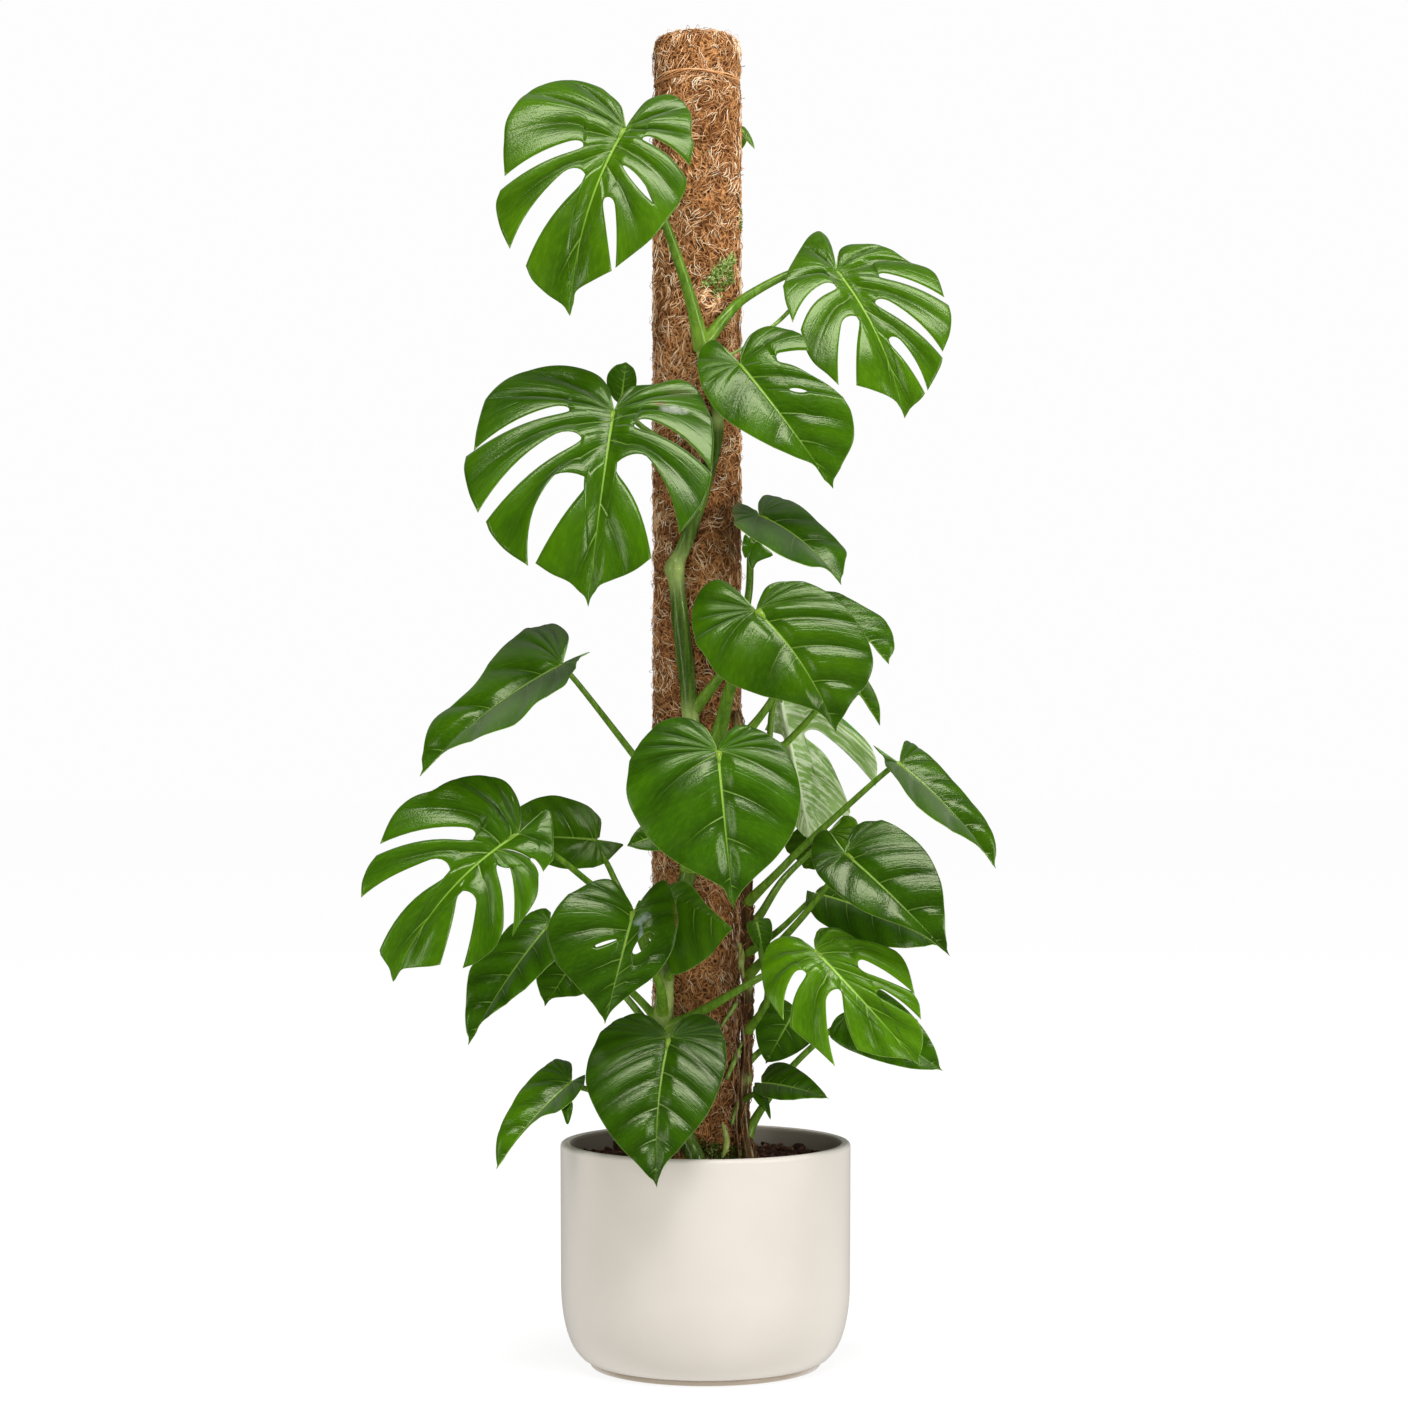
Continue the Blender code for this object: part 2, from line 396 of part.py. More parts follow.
def vein(start, end, t, bow):
    """Points of the side veins that leave the midrib at start and reach the edge at end."""
    first = np.stack([0 * start, start], -1)
    middle = 0.5 * (first + end)
    middle[..., 1] -= bow * end[..., 0]
    t = t[..., None]
    return (1 - t) ** 2 * first + 2 * t * (1 - t) * middle + t ** 2 * end


def find_slits(leaf, side, slits, joints, length):
    """For each slit its width, its start on the midrib, the shares of its vein that it spans and its bow."""
    found = []
    for n, slit in enumerate(slits):
        starts = np.linspace(0.0, LAST_VEIN * length, 90)
        ts = np.linspace(0.02, 0.95, 94)
        ends = np.tile(joints[n + 1], (len(ts), 1))
        bow = slit[3] if len(slit) in (4, 6) else VEIN_BOW
        lines = np.stack([vein(np.full_like(ts, start), ends, ts, bow) for start in starts])
        off = np.linalg.norm(lines - on_blade(leaf, slit[0], slit[1], side), axis=2)
        i, j = np.unravel_index(np.argmin(off), off.shape)
        far = 1.0
        if len(slit) > 4:
            stop = on_blade(leaf, slit[-2], slit[-1], side)
            far = ts[np.argmin(np.linalg.norm(lines[i] - stop, axis=1))]
        found.append((slit[2] / 1000, starts[i], ts[j], far, bow))
    return found


def slit_side(width, near, far, tau, sign):
    """How far a slit's side stands off its vein, and how far it has gone over to the lobe's corner."""
    if far < 1:
        x = np.clip(tau / min(HOLE_REACH, (far - near) / (1 - near)), 0, 1)
        return width * np.sqrt(x * (1 - x)) ** 1.3, 0.0
    x = min(1.0, tau / 0.22)
    lean = 0.25 * (1 - tau) if sign > 0 else 0.75 * (1 - tau ** 3)
    return width * np.sqrt(x * (2 - x)) * lean, tau ** 1.4


def half_blade(leaf, side, cols, rows):
    """One half of the flat blade as a grid of points for each lobe."""
    length = leaf["length"]
    parts = leaf.get("left" if side == 1 else "right")
    half = leaf["half"][0 if side == 1 else 1] / 1000
    if parts:
        lobes = [[on_blade(leaf, *point, side) for point in part] for part in parts if isinstance(part, list)]
        lobes[-1].append(np.array([0.0, length]))
        slits = [part for part in parts if isinstance(part, tuple)]
    else:
        lobe = leaf["lobe"][0 if side == 1 else 1]
        lobes = [[(u * half, v * length * (lobe if v < 0 else 1)) for u, v in HEART]]
        slits = []
    edges = [smooth_line(lobe) for lobe in lobes]
    sizes = np.cumsum([0] + [size for _, size in edges])
    at = sizes / sizes[-1]
    read = [edge for edge, _ in edges]
    joints = [read[0](0.0)] + [0.5 * (a(1.0) + b(0.0)) for a, b in zip(read, read[1:])] + [read[-1](1.0)]
    ways = [b(0.25) - a(0.75) for a, b in zip(read, read[1:])]
    ways = [np.zeros(2)] + [way / np.linalg.norm(way) for way in ways] + [np.zeros(2)]
    slit = find_slits(leaf, side, slits, joints, length)
    slit = [(0.0, 0.0, 0.45, 1.0, VEIN_BOW)] + slit + [(0.0, LAST_VEIN * length, 0.45, 1.0, VEIN_BOW)]
    knots = [(at[n], slit[n][1]) for n in range(len(slit))]
    if at[1] > BASAL:
        knots.insert(1, (min(BASAL, at[1] * 0.8), 0.0))
    knots = np.array(knots)
    knots[:, 1] = np.maximum.accumulate(knots[:, 1])
    inner, steps = rows
    levels = [(n / inner, 0.0) for n in range(inner + 1)] + [(1.0, step) for step in steps]
    grids = []
    for n, edge in enumerate(read):
        share = np.linspace(0, 1, cols + 1)
        start = np.interp(at[n] + (at[n + 1] - at[n]) * share, knots[:, 0], knots[:, 1])
        rim = edge(share)
        weights = ((1 - share) ** 2, share ** 2)
        pulls = (joints[n] - rim[0], joints[n + 1] - rim[-1])
        target = rim + weights[0][:, None] * pulls[0] + weights[1][:, None] * pulls[1]
        near = slit[n][2] + (slit[n + 1][2] - slit[n][2]) * share
        bow = slit[n][4] + (slit[n + 1][4] - slit[n][4]) * share
        grid = []
        for rise, tau in levels:
            t = near * rise + (1 - near) * tau
            p = vein(start, target, t, bow)
            for m, sign in ((n, 1), (n + 1, -1)):
                weight = weights[m - n]
                off, gone = slit_side(slit[m][0], slit[m][2], slit[m][3], tau, sign)
                p = p + weight[:, None] * sign * off * ways[m]
                p = p - (weight * gone * t)[:, None] * pulls[m - n]
            grid.append(p)
        grids.append(np.array(grid))
    return grids


def leaf_is_split(leaf):
    return any(len(leaf.get(side, [])) > 1 for side in ("left", "right"))


def blade_sheet(leaf):
    """Points and triangles of the blade as a thin sheet, its two halves joined along the midrib."""
    place(leaf)
    grids = []
    for side in (1, -1):
        parts = leaf.get("left" if side == 1 else "right")
        split = parts and len(parts) > 1
        grids += [(side, grid) for grid in half_blade(leaf, side, LOBE_COLS if split else COLS,
                                                      LOBE_ROWS if leaf_is_split(leaf) else ROWS)]
    rib = np.unique(np.round(np.concatenate([grid[0, :, 1] for _, grid in grids]), 7))
    points, triangles = [], []
    for side, grid in grids:
        rows, cols = grid.shape[:2]
        first = len(points)
        points += list(surface(leaf, side * grid[..., 0], grid[..., 1]).reshape(-1, 3))
        for i in range(rows - 1):
            for j in range(cols - 1):
                a = first + i * cols + j
                ring = [a, a + 1, a + cols + 1, a + cols]
                low, high = grid[0, j, 1], grid[0, j + 1, 1]
                between = [v for v in rib if low + 1e-6 < v < high - 1e-6] if i == 0 else []
                stops = [a] + list(range(len(points), len(points) + len(between))) + [a + 1]
                points += [surface(leaf, np.array(1e-12), np.array(v)) for v in between]
                found = [(ring[3], p, q) for p, q in zip(stops, stops[1:])] + [(ring[3], ring[1], ring[2])]
                triangles += found if side == 1 else [tri[::-1] for tri in found]
    return points, triangles


# tools
def new_collection(name):
    collection = bpy.data.collections.new(name)
    bpy.context.scene.collection.children.link(collection)
    return collection


def material(name):
    """The Principled material of this name, made once."""
    made = bpy.data.materials.get(name)
    if made is None:
        made = bpy.data.materials.new(name)
        made.use_nodes = True
        colour, rough = FINISHES[name]
        shader = made.node_tree.nodes["Principled BSDF"]
        shader.inputs["Base Color"].default_value = (*colour, 1)
        shader.inputs["Roughness"].default_value = rough
    return made


def add_object(name, mesh, collection, slot=None):
    made = bpy.data.objects.new(name, mesh)
    collection.objects.link(made)
    if slot:
        mesh.materials.append(material(slot))
    else:
        made.hide_render = True
        made.display_type = "WIRE"
    return made


def mesh_from(points, faces, smooth=True):
    mesh = bpy.data.meshes.new("shape")
    mesh.from_pydata([tuple(p) for p in points], [], faces)
    for polygon in mesh.polygons:
        polygon.use_smooth = smooth
    return mesh


def lathe(profile, centre_x=0.0):
    """A round solid from its outline in (radius, height), run from the axis down the outside."""
    mesh = mesh_from([(r, 0.0, z) for r, z in profile], [])
    mesh.edges.add(len(profile) - 1)
    for n, edge in enumerate(mesh.edges):
        edge.vertices = (n, n + 1)
    made = bpy.data.objects.new("outline", mesh)
    bpy.context.scene.collection.objects.link(made)
    screw = made.modifiers.new("Turn", "SCREW")
    screw.steps = ROUND_STEPS
    screw.render_steps = ROUND_STEPS
    screw.use_merge_vertices = True
    screw.merge_threshold = 0.00005
    screw.use_smooth_shade = True
    turned = baked(made)
    bpy.data.objects.remove(made)
    bm = bmesh.new()
    bm.from_mesh(turned)
    bmesh.ops.remove_doubles(bm, verts=bm.verts, dist=0.00005)
    bmesh.ops.translate(bm, verts=bm.verts, vec=(centre_x, 0, 0))
    bmesh.ops.recalc_face_normals(bm, faces=bm.faces)
    bm.to_mesh(turned)
    bm.free()
    return turned


def baked(made):
    """The object's mesh with its modifiers applied."""
    graph = bpy.context.evaluated_depsgraph_get()
    graph.update()
    return bpy.data.meshes.new_from_object(made.evaluated_get(graph))


def volume(mesh):
    """The volume inside a closed mesh, or 0 where it isn't closed."""
    bm = bmesh.new()
    bm.from_mesh(mesh)
    size = bm.calc_volume() if all(edge.is_manifold for edge in bm.edges) else 0.0
    bm.free()
    return size


def combine(made, other, operation):
    """Joins a second closed body to an object, or takes it away, and bakes the result."""
    least = 0.6 * volume(made.data)
    for solver in ("EXACT", "MANIFOLD"):
        modifier = made.modifiers.new("Cut", "BOOLEAN")
        modifier.operation = operation
        modifier.solver = solver
        modifier.object = other
        mesh = baked(made)
        made.modifiers.remove(modifier)
        if volume(mesh) > least:
            break
    made.data = mesh


def tube(points, radii, sides=6):
    """A closed rod through some points, with its radius at each."""
    points = [Vector(p) for p in points]
    rings, faces = [], []
    across = None
    for n, point in enumerate(points):
        way = (points[min(n + 1, len(points) - 1)] - points[max(n - 1, 0)]).normalized()
        across = way.orthogonal() if across is None else across - way * across.dot(way)
        across.normalize()
        side = way.cross(across)
        for k in range(sides):
            turn = 2 * math.pi * k / sides
            rings.append(point + float(radii[n]) * (across * math.cos(turn) + side * math.sin(turn)))
    last = len(points) - 1
    for n in range(last):
        for k in range(sides):
            a, b = n * sides + k, n * sides + (k + 1) % sides
            faces.append((a, b, b + sides, a + sides))
    faces.append(tuple(range(sides))[::-1])
    faces.append(tuple(range(last * sides, (last + 1) * sides)))
    return mesh_from(rings, faces)


def thicken(points, triangles):
    """A sheet given its thickness: both faces alike, closed along every edge."""
    bm = bmesh.new()
    verts = [bm.verts.new(p) for p in points]
    for triangle in triangles:
        if len(set(triangle)) == 3:
            bm.faces.new([verts[i] for i in triangle])
    bmesh.ops.remove_doubles(bm, verts=bm.verts, dist=0.00002)
    bmesh.ops.dissolve_degenerate(bm, edges=bm.edges, dist=0.00002)
    bmesh.ops.triangulate(bm, faces=bm.faces)
    bm.normal_update()
    bm.verts.index_update()
    count = len(bm.verts)
    front = [v.co + v.normal * BLADE / 2 for v in bm.verts]
    back = [v.co - v.normal * BLADE / 2 for v in bm.verts]
    faces = []
    for face in bm.faces:
        a, b, c = (v.index for v in face.verts)
        faces += [(a, b, c), (count + c, count + b, count + a)]
        for loop in face.loops:
            if loop.edge.is_boundary:
                p, q = loop.vert.index, loop.link_loop_next.vert.index
                faces += [(q, p, count + p), (q, count + p, count + q)]
    bm.free()
    return mesh_from(front + back, faces)


def largest_piece(mesh):
    """Drops every loose bit but the largest."""
    bm = bmesh.new()
    bm.from_mesh(mesh)
    bm.verts.ensure_lookup_table()
    left, pieces = set(bm.verts), []
    while left:
        seed = left.pop()
        piece, edge = {seed}, [seed]
        while edge:
            for link in edge.pop().link_edges:
                for vert in link.verts:
                    if vert in left:
                        left.discard(vert)
                        piece.add(vert)
                        edge.append(vert)
        pieces.append(piece)
    pieces.sort(key=len)
    for piece in pieces[:-1]:
        bmesh.ops.delete(bm, geom=list(piece), context="VERTS")
    bmesh.ops.dissolve_degenerate(bm, edges=bm.edges, dist=0.000005)
    bmesh.ops.triangulate(bm, faces=bm.faces)
    bm.to_mesh(mesh)
    bm.free()


# sub-parts
def stem_line(name, extra=0.0):
    """Centre points and radii of a stem; extra widens it."""
    points, radii = [], []
    for angle, height, radius, off in STEMS[name]:
        reach = POLE_R + CLIMB_OFF + (radius + off) / 1000
        turn = math.radians(angle)
        points.append((POLE_X + reach * math.sin(turn), -reach * math.cos(turn), height / 1000))
        radii.append(radius / 1000 + extra)
    return points, radii


def make_pot(parts):
    inner = POT_R - POT_WALL
    profile = [(0, POT_FLOOR), (inner - 0.030, POT_FLOOR), (inner - 0.010, POT_FLOOR + 0.010),
               (inner - 0.002, POT_FLOOR + 0.032), (inner, 0.10), (inner, POT_H - 0.004),
               (inner + 0.0012, POT_H - 0.0012), (inner + 0.004, POT_H), (POT_R - 0.004, POT_H),
               (POT_R - 0.0012, POT_H - 0.0012), (POT_R, POT_H - 0.004), (POT_R - 0.0006, 0.12),
               (POT_R - 0.0014, 0.075), (POT_R - 0.0060, 0.045), (POT_R - 0.0135, 0.024),
               (POT_R - 0.0235, 0.011), (FOOT_R + 0.003, 0.0055), (FOOT_R + 0.0005, 0.0025),
               (FOOT_R, 0.0), (0, 0.0)]
    add_object("pot", lathe(profile), parts, "pot_glaze")


def make_soil(parts, cutters):
    inner = POT_R - POT_WALL - GAP
    low = POT_FLOOR + GAP
    profile = [(0, SOIL_TOP), (inner - 0.02, SOIL_TOP), (inner, SOIL_TOP - 0.004), (inner, 0.10),
               (inner - 0.002, low + 0.0325), (inner - 0.010, low + 0.0105), (inner - 0.030, low), (0, low)]
    soil = add_object("soil", lathe(profile), parts, "soil")
    hole = lathe([(0, SOIL_TOP + 0.05), (POLE_R + GAP, SOIL_TOP + 0.05), (POLE_R + GAP, POLE_BOTTOM - GAP),
                  (0, POLE_BOTTOM - GAP)], POLE_X)
    combine(soil, add_object("pole_hole", hole, cutters), "DIFFERENCE")
    for name in STEMS:
        points, radii = stem_line(name, GAP)
        points[0] = points[0][:2] + (points[0][2] - GAP,)
        combine(soil, add_object(name + "_hole", tube(points[:3], radii[:3], 10), cutters), "DIFFERENCE")
    largest_piece(soil.data)


def make_pole(parts, cutters):
    core = [(0, CORE_TOP), (CORE_R - 0.001, CORE_TOP), (CORE_R, CORE_TOP - 0.001), (CORE_R, POLE_BOTTOM),
            (0, POLE_BOTTOM)]
    add_object("pole_core", lathe(core, POLE_X), parts, "pole_wood")
    bore = CORE_R + GAP
    sleeve = [(0, POLE_TOP), (0.036, POLE_TOP), (0.044, POLE_TOP - 0.003), (0.0490, POLE_TOP - 0.010),
              (POLE_R, POLE_TOP - 0.021), (POLE_R, BAND_Z + 0.010), (POLE_R - 0.0030, BAND_Z),
              (POLE_R, BAND_Z - 0.010), (POLE_R, POLE_BOTTOM), (bore, POLE_BOTTOM),
              (bore, CORE_TOP + GAP), (0, CORE_TOP + GAP)]
    coir = add_object("coir_sleeve", lathe(sleeve, POLE_X), parts, "coir")
    place(LEAVES["leaf_29"])
    points, radii = petiole_line(LEAVES["leaf_29"], None)
    points[-1] = tuple(np.array(points[-1]) * 1.5 - np.array(points[-2]) * 0.5)
    hole = tube(points, [r + GAP for r in radii])
    combine(coir, add_object("sprout_hole", hole, cutters), "DIFFERENCE")


def make_stems(parts, cutters):
    """The two climbing stems; returns their slightly wider copies that petioles are cut with."""
    clear = []
    for name in STEMS:
        points, radii = stem_line(name)
        add_object(name, tube(points, radii, 10), parts, "stem_green")
        points, radii = stem_line(name, GAP)
        clear.append(add_object(name + "_clear", tube(points, radii, 10), cutters))
    return clear


def petiole_line(leaf, stems):
    """Centre points and radii of a petiole, its end set on the axis of the stem that it grows from."""
    points = [surface(leaf, np.array(1e-12), np.array(0.003))] + [spot(*point) for point in leaf["petiole"]]
    if stems:
        ends = Vector(points[-1])
        best = None
        for line in stems:
            for a, b in zip(line, line[1:]):
                a, b = Vector(a), Vector(b)
                share = max(0.0, min(1.0, (ends - a).dot(b - a) / (b - a).length_squared))
                found = a + (b - a) * share
                if best is None or (found - ends).length < (best - ends).length:
                    best = found
        points[-1] = np.array(best)
    read, length = smooth_line(points)
    steps = max(3, min(6, round(length / 0.04)))
    shares = np.linspace(0, 1, steps + 1)
    size = leaf.get("thick", 1.0) * min(1.0, 0.55 + length * 3.0)
    radii = [size * (PETIOLE_TOP_R + (PETIOLE_END_R - PETIOLE_TOP_R) * share ** 1.5) for share in shares]
    return [tuple(p) for p in read(shares)], radii


def make_leaf(name, leaf, parts, cutters, clear):
    points, triangles = blade_sheet(leaf)
    made = add_object(name, thicken(points, triangles), parts, "leaf_" + leaf["tone"])
    lines = [stem_line(stem)[0] for stem in STEMS] if name != "leaf_29" else None
    points, radii = petiole_line(leaf, lines)
    combine(made, add_object(name + "_petiole", tube(points, radii), cutters), "UNION")
    for cutter in clear:
        combine(made, cutter, "DIFFERENCE")
    largest_piece(made.data)


def build():
    for old in list(bpy.data.objects):
        bpy.data.objects.remove(old)
    parts = new_collection("potted_monstera")
    cutters = new_collection("cutters")
    make_pot(parts)
    make_soil(parts, cutters)
    make_pole(parts, cutters)
    clear = make_stems(parts, cutters)
    for name, leaf in LEAVES.items():
        make_leaf(name, leaf, parts, cutters, clear)


build()
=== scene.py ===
"""Looks of a potted monstera on a coir pole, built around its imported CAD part.

Metres, in the part's own frame: the origin is the centre of the pot's underside, the front faces -Y.
Every leaf is drawn as the front view shows it, in millimetres, and laid on a folded, arched blade.
"""
import math

import bmesh
import bpy
import numpy as np
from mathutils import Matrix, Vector, noise


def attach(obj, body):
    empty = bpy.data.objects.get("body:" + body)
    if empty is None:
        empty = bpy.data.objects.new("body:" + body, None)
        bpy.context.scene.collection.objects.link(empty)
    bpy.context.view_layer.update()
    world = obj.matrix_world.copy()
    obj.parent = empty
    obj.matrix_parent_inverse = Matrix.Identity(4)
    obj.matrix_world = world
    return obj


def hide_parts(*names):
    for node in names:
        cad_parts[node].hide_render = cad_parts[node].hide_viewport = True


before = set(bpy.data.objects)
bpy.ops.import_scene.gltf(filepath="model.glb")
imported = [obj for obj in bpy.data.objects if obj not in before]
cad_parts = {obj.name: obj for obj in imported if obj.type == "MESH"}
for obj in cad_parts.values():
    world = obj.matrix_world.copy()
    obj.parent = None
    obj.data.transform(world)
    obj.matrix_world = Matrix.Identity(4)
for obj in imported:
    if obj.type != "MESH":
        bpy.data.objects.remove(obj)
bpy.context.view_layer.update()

# Sizes of the part, metres.
POT_R = 0.1641             # pot at the rim
POT_H = 0.2510
POT_WALL = 0.0120
POT_FLOOR = 0.0120
LIP = 0.0045               # rounding of the rim's two edges
FOOT_R = 0.1298            # flat disc that the pot stands on
SOIL_TOP = 0.2280
GAP = 0.0003               # room between the soil and the pot
CLIMB_OFF = 0.0011         # room between a climbing stem and the coir
POLE_X = -0.0096
POLE_R = 0.0505
POLE_TOP = 1.5000
BAND_Z = 1.4560            # tie that draws the coir in below the top
COIR_FOOT = SOIL_TOP - 0.02
PETIOLE_TOP_R = 0.0030
PETIOLE_END_R = 0.0052
EYE = np.array([-0.0017, -3.627, 0.7107])   # the camera; the front view is drawn as seen from here

# How the veins of a blade run.
VEIN_BOW = 0.30            # how far a side vein is bowed towards the petiole where the blade is split
WHOLE_BOW = 0.17           # and where it is whole
VEIN_LEAN = 0.72           # how far a side vein of a whole half leans to the tip
BASAL = 0.36               # share of the edge whose veins all start at the petiole
LAST_VEIN = 0.88           # share of the midrib where the last side vein leaves it
NEAR = 0.45                # share of a vein that lies inside the slits' inner ends, where there is no slit
HOLE_REACH = 0.78          # a closed slit ends at most this far along the outer part of its vein

# The fine leaf mesh.
SKIN = 0.0009              # thickness of a blade
VEINS = 8                  # side veins of a half blade
FEWER = 0.6                # a split blade has fewer of them before its first slit,
MORE = 1.1                 # and more after its last
PLEATED = {"leaf_21": 12, "leaf_16": 10}   # leaves with a number of their own
FACET = 0.0048             # length of a facet along the edge
INNER = (0, 0.025, 0.06, 0.11, 0.18, 0.27, 0.37, 0.48, 0.60, 0.73, 0.86, 1.0)   # from midrib to middle
OUTER = (0.10, 0.20, 0.31, 0.42, 0.53, 0.64, 0.75, 0.85, 0.93, 0.98, 1.0)       # from there to the edge
SPLIT = (0.006, 0.022, 0.045, 0.08, 0.13, 0.19, 0.26, 0.35, 0.45, 0.55, 0.65, 0.75, 0.84, 0.92, 0.97, 1.0)
BULGE = 0.105              # height of the blade between two side veins, as a share of their distance
WIDEST_GAP = 34            # this distance counts at most, mm
# Leaves that are smoother than the others.
PLEAT = {"leaf_04": 0.6, "leaf_05": 0.5, "leaf_14": 0.65, "leaf_16": 0.6, "leaf_17": 0.25, "leaf_21": 0.9,
         "leaf_22": 0.6, "leaf_23": 0.5}
WHOLE_PLEAT = 0.75         # the same for the other leaves without slits
PLAIN = ("leaf_17", "leaf_31")   # leaves that show no midrib
# Leaves that are darker or lighter than the others of their tone.
SHADE = {"leaf_01": 0.90, "leaf_03": 0.86, "leaf_04": 0.90, "leaf_06": 0.76, "leaf_10": 0.78,
         "leaf_16": 0.82, "leaf_17": 0.84, "leaf_18": 1.30, "leaf_21": 0.68, "leaf_22": 0.72,
         "leaf_23": 1.10, "leaf_24": 1.28, "leaf_25": 1.20}
# Petioles with a sheath that is wider at the stem.
SHEATH = {"leaf_01": 0.28, "leaf_02": 0.12, "leaf_06": 0.50, "leaf_12": 0.30, "leaf_16": 0.35,
          "leaf_24": 0.45}
FREE = "leaf_29"           # the sprout, which grows out of the coir and from no stem
DRIP = 0.5                 # how much narrower the last bit of the tip is than the outline's corner
WAVE = 0.006               # size of the slow waves along the edge, as a share of the blade's length
RIB_R = 0.0021             # ridge of the midrib under the blade
LEAST = 0.04               # points stay this far from the midrib, as a share of the half width
ON_RIB = 1e-12             # across the blade, on the midrib itself but on a known side of it
NUDGE = 1e-5               # step that slopes are taken over
SMOOTH = 16                # points that a smooth line has for each one given
FACTS = ("vein", "reach", "gap", "edge", "rib", "along")   # what each point of a blade knows
TOP, UNDER, RIM, STALK = range(4)                          # numbers of a leaf's materials

# Rods: points round them and the length of their stretches.
PETIOLE_SIDES, PETIOLE_STEP = 14, 0.006
STEM_SIDES, STEM_STEP = 24, 0.004
SHOOT_SIDES = 8
THREAD_SIDES = 5
FLAP_RING = 24             # points round a flap
FLAP_LIFT = 0.4            # how far behind its leaf's edge a flap stands, mm
POT_SIDES, SOIL_SIDES, COIR_SIDES = 144, 128, 96

# Fibres of the coir: name, clumps, fibres of a clump, length, radius, how far they stand off, seed and tint.
FIBRES = [("coir_fibres_low", 1850, 4, 0.018, 0.00055, 0.0010, 11, 0.52),
          ("coir_fibres_high", 2460, 3, 0.013, 0.00048, 0.0022, 12, 0.71),
          ("coir_stray_hairs", 900, 1, 0.012, 0.00026, 0.0060, 13, 0.35)]
TAPER = np.array([0.5, 0.95, 1, 0.9, 0.4])   # thickness of a fibre at its five points
BURIED = 0.0009            # how deep a fibre starts in the coir
DOME = 0.045               # reach of the pole's top from its middle, with a fibre layer of its own
SIDE_FIBRES, SIDE_SEED = 640, 15
TIE_TURNS = 5
KNOT = (0.24, 1.196)       # where the knot of pale fibre sits: angle in radians and height
KNOT_ARCS, KNOT_SEED = 34, 14
MOSS_SEED = 31
CHIPS, CHIP_SEED = 2300, 21
CHIP_SIZE, LARGEST_CHIP = 0.0042, 0.0125
# Outline of the coir in (radius, height).
SLEEVE = [(0, POLE_TOP + 0.0085), (0.026, POLE_TOP + 0.0074), (0.040, POLE_TOP + 0.0034),
          (0.0482, POLE_TOP - 0.0030), (POLE_R, POLE_TOP - 0.015), (POLE_R, BAND_Z + 0.010),
          (POLE_R - 0.0030, BAND_Z), (POLE_R, BAND_Z - 0.010), (POLE_R, COIR_FOOT)]
# Moss: angle round the pole (degrees), height, half width, half height, spikes, tint, their length.
MOSS = [(50, 1.247, 0.004, 0.005, 45, 0.88, 0.0070), (43, 1.242, 0.005, 0.005, 55, 0.90, 0.0075),
        (35, 1.236, 0.005, 0.006, 60, 0.90, 0.0075), (26, 1.229, 0.005, 0.006, 60, 0.88, 0.0075),
        (18, 1.222, 0.005, 0.006, 55, 0.86, 0.0070), (12, 1.216, 0.004, 0.004, 30, 0.80, 0.0060),
        (46, 1.226, 0.008, 0.009, 110, 0.68, 0.0060), (32, 1.219, 0.009, 0.010, 90, 0.60, 0.0060),
        (25, 1.205, 0.005, 0.008, 40, 0.72, 0.0060), (80, 1.294, 0.007, 0.013, 70, 0.66, 0.0040),
        (2, 0.246, 0.016, 0.012, 170, 0.30, 0.0080), (28, 0.244, 0.014, 0.010, 150, 0.55, 0.0075),
        (58, 0.242, 0.012, 0.008, 90, 0.45, 0.0070)]

# Colours are linear red, green and blue. Upper sides: the deep and the fresh green of each tone.
TOPS = {"dark": ((0.015, 0.050, 0.0004), (0.044, 0.132, 0.001)),
        "mid": ((0.021, 0.070, 0.0004), (0.058, 0.158, 0.001)),
        "light": ((0.026, 0.078, 0.0004), (0.072, 0.180, 0.002)),
        "pale": ((0.070, 0.210, 0.030), (0.150, 0.340, 0.070))}
# Undersides: deep, fresh, the veins' green and how much of it streaks the blade.
UNDERS = {"green": ((0.075, 0.190, 0.035), (0.120, 0.260, 0.055), (0.300, 0.450, 0.140), 0.45),
          "pale": ((0.190, 0.350, 0.060), (0.340, 0.520, 0.160), (0.680, 0.780, 0.500), 0.85)}
RIB_GREEN = (0.26, 0.44, 0.055)
EDGE_GREEN = (0.42, 0.56, 0.14)
RIM_GREEN = (0.22, 0.36, 0.06)
PAINTED_SHEEN_GREEN = (0.150, 0.200, 0.110)   # painted sheen of a blade seen edge-on
# Tints of the gloss, which keep it from whitening the greens.
TOP_GLOSS = (0.92, 1.0, 0.64, 1)
STALK_GLOSS = (0.95, 1.0, 0.70, 1)
# Blemishes of the upper sides, and one painted highlight: tone of the leaf, centre x and z, half sizes, lean,
# strength and colour.
MARKS = [("mid", (-0.0487, 1.0740), (0.0125, 0.0032), -0.10, 0.80, (0.120, 0.050, 0.020)),
         # a painted highlight below the brown burn, not a blemish
         ("mid", (-0.0345, 1.0668), (0.0200, 0.0062), -0.12, 0.60, (0.620, 0.640, 0.560)),
         ("mid", (-0.0300, 1.0880), (0.0240, 0.0060), -0.05, 0.35, (0.120, 0.090, 0.050)),
         ("dark", (-0.0690, 0.5110), (0.0120, 0.0075), 0.50, 0.45, (0.430, 0.500, 0.480)),
         ("dark", (-0.0700, 0.4930), (0.0040, 0.0130), 0.0, 0.40, (0.430, 0.500, 0.480)),
         ("dark", (-0.0310, 0.5160), (0.0050, 0.0260), 0.0, 0.55, (0.140, 0.075, 0.012)),
         ("dark", (-0.0030, 0.5130), (0.0065, 0.0240), 0.0, 0.45, (0.110, 0.060, 0.010))]
